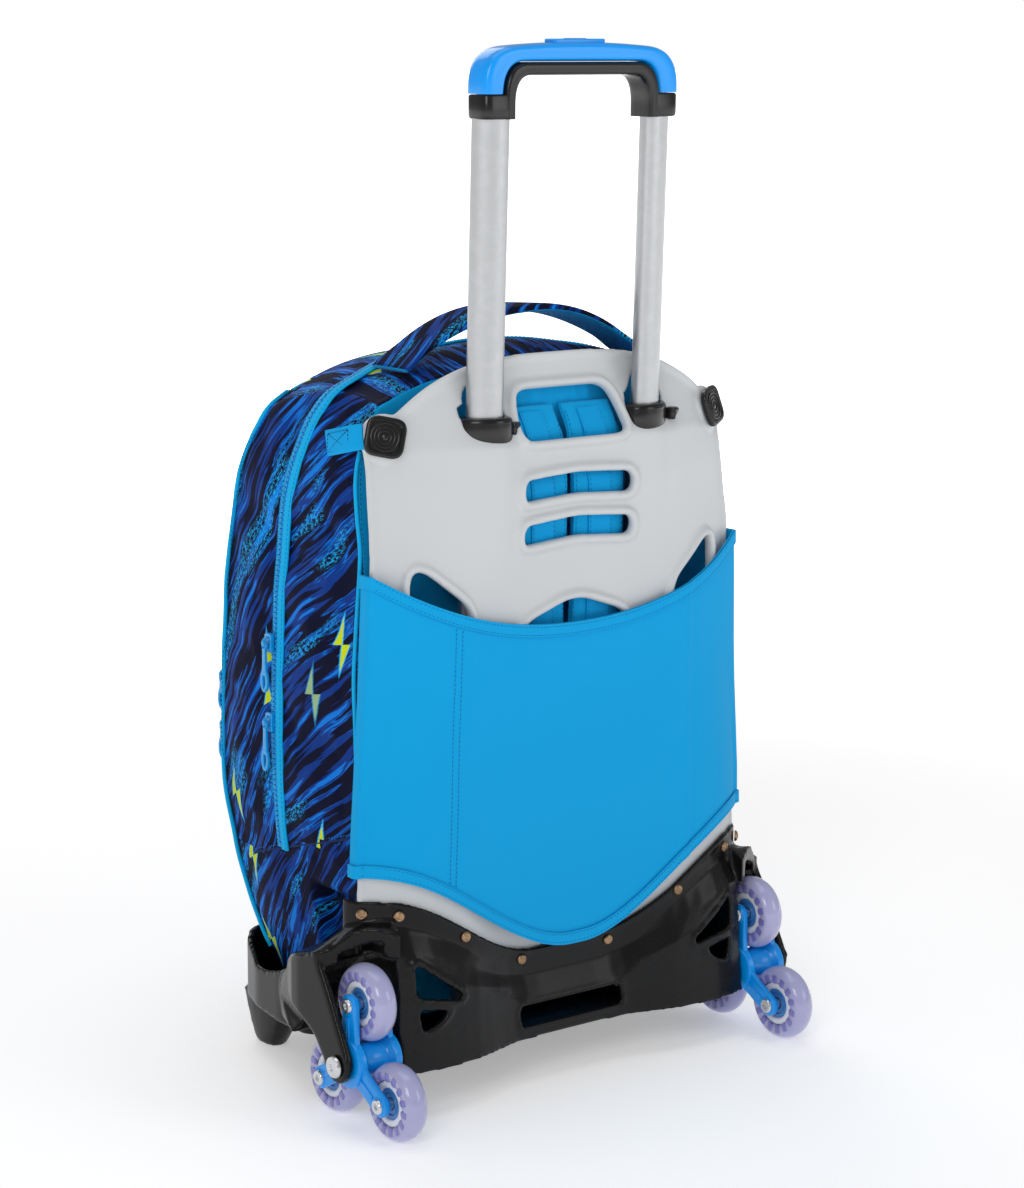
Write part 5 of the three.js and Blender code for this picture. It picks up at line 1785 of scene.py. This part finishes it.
    def pocket(self) -> BVHTree:
        """The front pocket: a shallow stuffed bag with piped edges and its own zip."""
        def place(p: Vector) -> Vector:
            """Bends a point of the unit box onto the bag's front."""
            u = p.x * math.sqrt(1 - 0.10 * p.z * p.z)
            w = p.z * math.sqrt(1 - 0.10 * p.x * p.x)
            z = 210 + w * 117
            x = u * (124 - 10 * abs(w) ** 4)
            skin = self.surface(x / along(self.half, z), 1, z)[1]
            puff = math.sqrt(max(0.0, (1 - u ** 4) * (1 - w ** 4)))
            bump = noise.noise(Vector((x, 9, z)) * 0.018) * 2.2 * puff
            y = skin - 3 if p.y < 0 else min(301.5, skin + 4.5 + 8.5 * puff + bump)
            return at(x, mix(skin - 3, y, (p.y + 1) / 2) if abs(p.y) < 1 else y, z)

        bm = block(40)
        uv = bm.loops.layers.uv.new("UVMap")
        for f in bm.faces:
            for loop in f.loops:
                p = place(loop.vert.co)
                loop[uv].uv = Vector((-p.x, p.z)) + Vector((p.y, p.y)) * 0.7 + Vector((0.23, 0.61))
        for v in bm.verts:
            v.co = place(v.co)
        bmesh.ops.recalc_face_normals(bm, faces=bm.faces)
        tree = BVHTree.FromBMesh(bm)
        pocket = piece("pocket_shell", bm, [PRINT.build()], "trolley",
                       ["front_pocket"], Shade.SOFT)
        subdivided(pocket)
        rim = [place(Vector((x, 0.999, z))) for x, z in
               [(-1, k / 8) for k in range(-8, 9)] + [(k / 8, 1) for k in range(-7, 8)]
               + [(1, -k / 8) for k in range(-8, 9)] + [(-k / 8, -1) for k in range(-7, 8)]]
        path, ups = lay_on(tree, spaced(rim, 5 * MM, closed=True))
        bm = bmesh.new()
        sweep(bm, path, ups, oval(3.2 * MM, 3.2 * MM, 10), closed=True, lift=0.6 * MM)
        piece("pocket_piping", bm, [PIPING.build()], "trolley")
        line = [place(Vector((x * 1.0, -0.15, z))) for x, z in
                [(-1, k / 8) for k in range(-5, 9)] + [(k / 8, 1) for k in range(-7, 8)]
                + [(1, -k / 8) for k in range(-8, 6)]]
        path, ups = lay_on(tree, spaced(line, 5 * MM))
        ZipRun(tape=9.0, coil=4.2, flap=5.0).build("pocket", path, ups, 1)
        return tree

    def build(self) -> BVHTree:
        """Makes the bag.

        Returns:
            A tree of its skin, which other pieces are laid on.
        """
        bm = self.shell()
        tree = BVHTree.FromBMesh(bm)
        body = piece("bag_shell", bm, [PRINT.build(), CYAN.build()], "trolley",
                     ["bag_body"], Shade.SOFT)
        subdivided(body)
        half = [at(*p) for p in self.zip_line]
        whole = half + [Vector((-p.x, p.y, p.z)) for p in reversed(half[:-1])]
        path, ups = lay_on(tree, curved(whole, 5 * MM))
        ZipRun().build("main", path, ups, -1)
        self.piping("front_piping", tree, self.edge_line(66))
        for name, side in SIDES:
            back = [at(side * 168, mix(66, 68, k / 9), mix(202, 470, k / 9)) for k in range(10)]
            self.piping(f"{name}_back_piping", tree, back, 1.5)
            seam = [at(side * 169, y, self.seam_z(y) + 0.5) for y in range(208, 64, -9)]
            path, ups = lay_on(tree, seam)
            bm = bmesh.new()
            sweep(bm, path, ups, oval(1.6 * MM, 1.2 * MM, 8), lift=0.1 * MM)
            stitches(bm, [p + Vector((0, 0, 2.6 * MM)) + u * 0.2 * MM for p, u in zip(path, ups)], ups,
                     material=1)
            piece(f"{name}_lower_seam", bm, [DARK_THREAD.build(), THREAD.build()], "trolley")
        self.pocket()
        return tree


@dataclass(frozen=True)
class CarryHandle:
    """The padded carry handle: print outside, mesh inside."""

    half: float = 109.0
    foot: float = 522.6
    crown: float = 557.0
    thick: float = 6.0
    width: float = 34.0
    y: float = 108.0

    def build(self) -> None:
        """Makes the handle."""
        line = []
        for k in range(-40, 41):
            x = self.half * k / 40 * 0.985
            line.append(at(x, self.y, mix(self.crown, self.foot - 4, (abs(x) / self.half) ** 2.2)
                           - self.thick / 2))
        line = spaced(line, 3.5 * MM)
        rings = []
        count = 36
        for i, p in enumerate(line):
            run = (line[min(i + 1, len(line) - 1)] - line[max(i - 1, 0)]).normalized()
            up = run.cross(Vector((0, -1, 0))).normalized()
            up = up if up.z > 0 else -up
            t = i / (len(line) - 1)
            fill = math.sin(math.pi * t) ** 0.6
            twist = 0.16 * math.sin(2 * math.pi * t)
            flare = 0.28 * (1 - smooth(min(t, 1 - t) / 0.11))
            wide = self.width / 2 * (mix(1.0, 0.93, fill) + flare) * MM
            deep = self.thick / 2 * mix(0.62, 1.12, fill) * MM
            side = Vector((0, 1, 0)) * math.cos(twist) + up * math.sin(twist)
            top = side.cross(run).normalized()
            top = top if top.dot(up) > 0 else -top
            ring = []
            for c in range(count):
                a = 2 * math.pi * (c + 0.5) / count
                x, z = math.cos(a), math.sin(a)
                x = math.copysign(abs(x) ** 0.55, x)
                z = math.copysign(abs(z) ** 0.62, z)
                ring.append(p + side * x * wide + top * z * deep)
            rings.append(ring)
        bm = bmesh.new()
        loft(bm, rings)
        uv = bm.loops.layers.uv.verify()
        for f in bm.faces:
            f.material_index = 1 if f.normal.z < -0.12 and abs(f.normal.y) < 0.8 else 0
            for loop in f.loops:
                loop[uv].uv = Vector((loop.vert.co.x, loop.vert.co.y + loop.vert.co.z * 0.4 + 0.37))
        strap = piece("handle_strap", bm, [PRINT.build(), MESH.build()], "trolley",
                      ["carry_handle"], Shade.SOFT)


@dataclass(frozen=True)
class Harness:
    """What shows through the panel's windows: two stowed shoulder straps and the back pad."""

    strap_x: float = 25.5
    strap_half: float = 23.5
    low: float = 290.0
    high: float = 490.0
    front_gap: float = 7.8
    thick: float = 8.4

    def strap(self, name: str, side: int) -> None:
        """One padded strap with its webbing."""
        bm = block(22)
        for v in bm.verts:
            u, d, w = v.co
            z = mix(self.low, self.high, (w + 1) / 2)
            y = along(MOULD.centre, z) + self.front_gap
            edge = math.sqrt(max(0.0, 1 - 0.62 * u ** 4)) * math.sqrt(max(0.0, 1 - 0.5 * w ** 8))
            x = side * self.strap_x + u * (self.strap_half - 1.2)
            middle = y + self.thick / 2
            v.co = at(x, middle + d * self.thick * 0.42 * edge, z)
        bmesh.ops.recalc_face_normals(bm, faces=bm.faces)
        swelled(bm, lambda p: p.z > (self.high - 2) * MM or p.z < (self.low + 2) * MM, 5.0, 2.6 * MM,
                0.03, 14)
        self.flat_uv(bm)
        tree = BVHTree.FromBMesh(bm)
        pad = piece(f"{name}_strap_pad", bm, [CYAN.build()], "trolley",
                    [f"{name}_shoulder_strap"], Shade.SOFT)
        subdivided(pad)
        bm = bmesh.new()
        points = [at(side * self.strap_x, 20, z) for z in range(int(self.low) + 6, int(self.high) - 3, 5)]
        path = [self.fronted(tree, p) for p in points]
        ups = [Vector((0, -1, 0))] * len(path)
        sweep(bm, path, ups, oval(21 * MM, 1.5 * MM, 14, 6), lift=0.7 * MM)
        for k in (-9.0, 9.0):
            row = [p + Vector((k * MM, -1.5 * MM, 0)) for p in path]
            stitches(bm, row, ups, material=1)
        piece(f"{name}_strap_webbing", bm, [WEBBING.build(), THREAD.build()], "trolley")
        bm = bmesh.new()
        for k in (-1, 1):
            row = [self.fronted(tree, at(side * self.strap_x + k * 20.5, 20, z))
                   for z in range(int(self.low) + 6, int(self.high) - 3, 5)]
            stitches(bm, [p + Vector((0, -0.1 * MM, 0)) for p in row], ups)
        piece(f"{name}_strap_stitching", bm, [THREAD.build()], "trolley")

    def fronted(self, tree: BVHTree, p: Vector) -> Vector:
        """The first place on a surface straight behind a point, or the point itself."""
        hit = tree.ray_cast(p, Vector((0, 1, 0)))[0]
        return hit if hit is not None else p

    def flat_uv(self, bm: bmesh.types.BMesh) -> None:
        """Lays the weave flat across X and Z."""
        uv = bm.loops.layers.uv.new("UVMap")
        for f in bm.faces:
            for loop in f.loops:
                p = loop.vert.co
                loop[uv].uv = Vector((p.x + p.y * 0.5, p.z + p.y * 0.5))

    def pad(self) -> None:
        """The quilted pad behind the straps, gathered along its top."""
        bm = block(30)
        for v in bm.verts:
            u, d, w = v.co
            z, x = 400 + w * 108, u * 52
            channel = 1 - 0.35 * abs(math.sin(z / 24 * math.pi)) ** 8
            edge = math.sqrt(max(0.0, (1 - 0.55 * u ** 4) * (1 - 0.55 * w ** 6)))
            wave = math.sin(x * 0.5 + 2 * noise.noise(Vector((x, 0, z)) * 0.05))
            gather = 0.7 * wave * smooth((w - 0.6) / 0.4)
            v.co = at(x, 67 + d * 3.6 * edge * channel + gather * (1 if d < 0 else 0), z)
        bmesh.ops.recalc_face_normals(bm, faces=bm.faces)
        swelled(bm, lambda p: abs(p.x) > 49 * MM, 4.0, 2.0 * MM, 0.03, 14)
        self.flat_uv(bm)
        pad = piece("quilted_pad", bm, [CYAN.build()], "trolley", ["back_pad"], Shade.SOFT)
        subdivided(pad)

    def build(self) -> None:
        """Makes straps and pad."""
        for name, side in SIDES:
            self.strap(name, side)
        self.pad()


@dataclass(frozen=True)
class Sleeve:
    """The cloth sleeve stretched over the panel, its ends wrapped round the panel's edges."""

    half: float = 174.8
    beyond: float = 3.4
    back: float = 61.0
    thick: float = 1.4
    flat_share: float = 0.94
    hem: float = 9.0
    columns: int = 150
    rows: int = 76
    flat: tuple[float, float] = (0.374, 0.283)

    def top(self, x: float) -> float:
        """The upper edge's height at x."""
        return 338 + 46 * (abs(x) / self.half) ** 2.2

    def bottom(self, x: float) -> float:
        """The lower edge's height at x."""
        return 101 + 72 * smooth((abs(x) - 5) / 165)

    def face(self, x: float, z: float) -> float:
        """The workshop Y of the sleeve's front, with the pull of the cloth in it."""
        stretched = 28.5 + 26 * clamp01((abs(x) - 92) / (self.half - 92)) ** 1.6
        y = min(stretched, MOULD.panel_y(x, z) - self.thick - 3.2)
        edge = smooth((z - self.bottom(x)) / 30) * smooth((self.top(x) - z) / 30)
        pull = 0.5 * noise.noise(Vector((x * 0.03, 0, z * 0.012))) * edge
        fold = 0.9 * math.exp(-(((x - 104) / 2.6) ** 2)) - 0.5 * math.exp(-(((x - 109) / 3.2) ** 2))
        seam = -0.5 * math.exp(-(((x + 110) / 2.2) ** 2))
        return y - pull - fold * 0.7 - seam * 0.6

    def spot(self, u: float, w: float, out: float = 0.0) -> Vector:
        """A point of the sleeve for u in -1..1 and w in 0..1, moved outwards by millimetres."""
        x = clamp01(abs(u) / self.flat_share) * self.half
        turn = clamp01((abs(u) - self.flat_share) / (1 - self.flat_share))
        side = math.copysign(1, u)
        z = mix(self.bottom(x), self.top(x), w)
        x *= (along(MOULD.edge_x, z) + self.beyond) / self.half
        y = mix(self.face(side * x, z), self.back, turn ** 1.3)
        bulge = 1.5 * math.sin(math.pi * min(turn, 0.75)) + out * smooth(turn * 4)
        return at(side * (x + bulge), y - out * (1 - smooth(turn * 4)), z)

    def grid(self, low: float, high: float, rows: int, out: float) -> list[list[Vector]]:
        """Columns of points over a band of the sleeve between two heights in millimetres."""
        found = []
        for i in range(self.columns + 1):
            u = 2 * i / self.columns - 1
            x = clamp01(abs(u) / self.flat_share) * self.half
            tall = self.top(x) - self.bottom(x)
            found.append([self.spot(u, mix(low / tall if low >= 0 else 1 + low / tall,
                                           high / tall if high > 0 else 1 + high / tall, j / rows), out)
                          for j in range(rows + 1)])
        return found

    def stitch_row(self, bm: bmesh.types.BMesh, place: Callable[[float], Vector], low: float,
                   high: float) -> None:
        """A row of stitches along place(t), for t from low to high."""
        line = [place(mix(low, high, k / 140)) for k in range(141)]
        stitches(bm, line, [Vector((0, -1, 0))] * len(line), pitch=3.2 * MM, length=2.3 * MM)

    def build(self) -> None:
        """Makes the sleeve, its hems and its stitching."""
        bm = bmesh.new()
        columns = [[self.spot(2 * i / self.columns - 1, j / self.rows) for j in range(self.rows + 1)]
                   for i in range(self.columns + 1)]
        loft(bm, columns, round_ring=False)
        bmesh.ops.recalc_face_normals(bm, faces=bm.faces)
        if sum(f.normal.y * f.calc_area() for f in bm.faces) > 0:
            bmesh.ops.reverse_faces(bm, faces=bm.faces)
        cloth_area = sum(f.calc_area() for f in bm.faces)
        LOG.info("sleeve cloth: %.4f square metres", cloth_area)
        bmesh.ops.solidify(bm, geom=bm.faces[:], thickness=1.2 * MM)
        sleeve = piece("sleeve_cloth", bm, [CYAN.build()], "trolley", ["fabric_sleeve"])
        bm = bmesh.new()
        for low, high in ((0.001, self.hem), (-self.hem, -0.001)):
            loft(bm, self.grid(low, high, 4, 0.75), round_ring=False)
        bmesh.ops.recalc_face_normals(bm, faces=bm.faces)
        bmesh.ops.solidify(bm, geom=bm.faces[:], thickness=-0.9 * MM)
        bmesh.ops.recalc_face_normals(bm, faces=bm.faces)
        hems = piece("sleeve_hems", bm, [CYAN.build()], "trolley")
        bm = bmesh.new()
        for inset in (1.8, self.hem - 1.4):
            for up in (True, False):
                def place(u: float, inset: float = inset, up: bool = up) -> Vector:
                    x = clamp01(abs(u) / self.flat_share) * self.half
                    tall = self.top(x) - self.bottom(x)
                    return self.spot(u, 1 - inset / tall if up else inset / tall, 1.7)
                self.stitch_row(bm, place, -0.935, 0.935)
        for x in (-112.5, -107.5):
            self.stitch_row(bm, lambda w, x=x: self.spot(x / self.half * self.flat_share, w, 0.25),
                            0.05, 0.95)
        sewing = piece("sleeve_stitching", bm, [THREAD.build()], "trolley")


@dataclass(frozen=True)
class Snaps:
    """The black snap buttons on the panel's corners, with the webbing tabs behind them."""

    half: float = 14.0
    thick: float = 4.5
    corner: float = 9.0
    gap: float = 0.4
    tab_z: float = 473.0

    def button(self, name: str, side: int) -> None:
        """A snap: rounded square cap, dished, with concentric rings."""
        bm = bmesh.new()
        h = self.half
        outline = rounded(((-h, -h), (h, -h), (h, h), (-h, h)), self.corner, 8)
        prism(bm, outline, lambda x, z: Vector((x, -self.gap, z)) * MM,
              Vector((0, -self.thick * MM, 0)), 1.5 * MM, 4)
        face = [f for f in bm.faces if f.normal.y < -0.99 and f.calc_area() > 3e-4]
        bmesh.ops.inset_region(bm, faces=face, thickness=1.6 * MM, depth=0)
        bmesh.ops.inset_region(bm, faces=face, thickness=0.8 * MM, depth=-0.8 * MM)
        out, centre = Vector((0, -1, 0)), Vector((0, 0, 0))
        base = self.gap + self.thick - 0.9
        for r, rise in ((9.6, 0.75), (7.0, 0.6), (4.4, 0.6)):
            turned(bm, ((r - 0.8, base - 0.3), (r - 0.7, base + rise * 0.7), (r, base + rise),
                        (r + 0.7, base + rise * 0.7), (r + 0.8, base - 0.3)), centre, out, 48)
        turned(bm, ((0, base + 0.7), (1.2, base + 0.6), (2.2, base + 0.2), (2.4, base - 0.3),
                    (0, base - 0.3)), centre, out, 32)
        bmesh.ops.transform(bm, matrix=SEAT.matrix(side), verts=bm.verts)
        piece(f"{name}_snap_cap", bm, [BLACK.build()], "trolley",
              [f"{name}_snap_button"])

    def tab(self, name: str, side: int) -> None:
        """A webbing tab with a boxed cross of stitches."""
        path = curved([at(side * x, y, self.tab_z + z) for x, y, z in
                       ((158.5, 67, 5), (162.2, 76, 3), (164.4, 88, 0), (165.0, 101, -3))], 2 * MM)
        ups = [Vector((side, 0.12, 0))] * len(path)
        bm = bmesh.new()
        sweep(bm, path, ups, oval(18 * MM, 1.9 * MM, 16, 6))
        top = [p + u * 1.0 * MM for p, u in zip(path, ups)]
        near = [p for p in top if (78 - ORIGIN_Y) * MM < p.y < (100 - ORIGIN_Y) * MM]
        up_by = Vector((0, 0, 6.4 * MM))
        rows = [[p + up_by for p in near], [p - up_by for p in near],
                [p + up_by * mix(-1, 1, i / (len(near) - 1)) for i, p in enumerate(near)],
                [p + up_by * mix(1, -1, i / (len(near) - 1)) for i, p in enumerate(near)],
                [near[0] + up_by * k / 6 for k in range(-6, 7)],
                [near[-1] + up_by * k / 6 for k in range(-6, 7)]]
        for row in rows:
            stitches(bm, row, [Vector((side, 0, 0))] * len(row), pitch=2.6 * MM, length=1.9 * MM,
                     material=1)
        piece(f"{name}_snap_webbing", bm, [WEBBING.build(), DARK_THREAD.build()], "trolley",
              [f"{name}_snap_tab"])

    def build(self) -> None:
        """Makes both snaps and tabs."""
        for name, side in SIDES:
            self.button(name, side)
            self.tab(name, side)


@dataclass(frozen=True)
class ZipPulls:
    """Sliders and their pulls, on the bag's left side."""

    main: tuple[float, float] = (167.8, 170.0)
    pocket: tuple[float, float] = (131.5, 287.0)
    pivot_out: float = 5.8

    def slider(self, name: str, x: float, y: float, z: float, body: str) -> None:
        """A slider: waisted body, and the bridge that the pull hangs from."""
        bm = bmesh.new()
        outline = rounded(((-4.5, -6.8), (-3.4, -0.5), (-4.5, 5.0), (-3.0, 7.0), (3.0, 7.0), (4.5, 5.0),
                           (3.4, -0.5), (4.5, -6.8)), 1.6, 4)
        prism(bm, outline, lambda a, b: at(-x, y + a, z + b), Vector((-3.2 * MM, 0, 0)), 0.7 * MM)
        bridge = [at(-x - 2.6, y, z - 3.4), at(-x - 5.0, y, z - 2.6), at(-x - 6.9, y, z - 0.6),
                  at(-x - 7.0, y, z + 1.6), at(-x - 5.0, y, z + 3.8), at(-x - 2.6, y, z + 4.6)]
        path = curved(bridge, 0.7 * MM)
        sweep(bm, path, [Vector((0, 1, 0))] * len(path), oval(1.5 * MM, 3.0 * MM, 10, 3))
        piece(f"{name}_slider_body", bm, [ZIP.build()], body, [f"{name}_zip_slider"])

    def pull(self, name: str, x: float, y: float, z: float, below: float) -> None:
        """A pull: loop round the bridge, tapering stem and a ring end with an oval slot."""
        bm = bmesh.new()
        out = -(x + self.pivot_out)
        up = Vector((-1, 0, 0))

        def ring(middle: float, wide: float, tall: float, section: list[tuple[float, float]]) -> None:
            path = [at(out, y + wide * math.sin(a), z + middle + tall * math.cos(a))
                    for a in (2 * math.pi * k / 28 for k in range(28))]
            sweep(bm, path, [up] * 28, section, closed=True)

        ring(-1.2, 2.3, 2.6, oval(1.5 * MM, 2.2 * MM, 10))
        low = -below + 8.6
        outline = rounded(((-2.3, -3.6), (-1.7, -5.5), (-2.2, low + 8), (-3.4, low + 4), (3.4, low + 4),
                           (2.2, low + 8), (1.7, -5.5), (2.3, -3.6)), 1.0, 3)
        prism(bm, outline, lambda a, b: at(out + 1.1, y + a, z + b), Vector((-2.2 * MM, 0, 0)), 0.6 * MM)
        ring(low, 3.1, 7.0, oval(2.8 * MM, 2.6 * MM, 12, 3))
        piece(f"{name}_pull_tab", bm, [ZIP.build()], f"{name}_pull", [f"{name}_zip_pull"])

    def build(self) -> None:
        """Makes all four."""
        for name, (x, y), z, below, body in (
                ("upper", self.main, 319, 36, "upper_zip"), ("lower", self.main, 261, 36, "trolley"),
                ("pocket_upper", self.pocket, 270, 26, "trolley"),
                ("pocket_lower", self.pocket, 232, 26, "trolley")):
            self.slider(name, x, y, z, body)
            self.pull(name, x, y, z, below)


# ---- all of it -----------------------------------------------------------------------
def main() -> None:
    """Builds the studio and every piece in order."""
    logging.basicConfig(level=logging.INFO, format="%(name)s: %(message)s")
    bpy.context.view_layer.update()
    Studio().build()
    TELESCOPE.build()
    BackPanel().build()
    BaseTray().build()
    Grip().build()
    Spider().build()
    Bag().build()
    CarryHandle().build()
    Harness().build()
    Sleeve().build()
    Snaps().build()
    ZipPulls().build()
    bpy.context.view_layer.update()


if __name__ == "__main__":
    main()
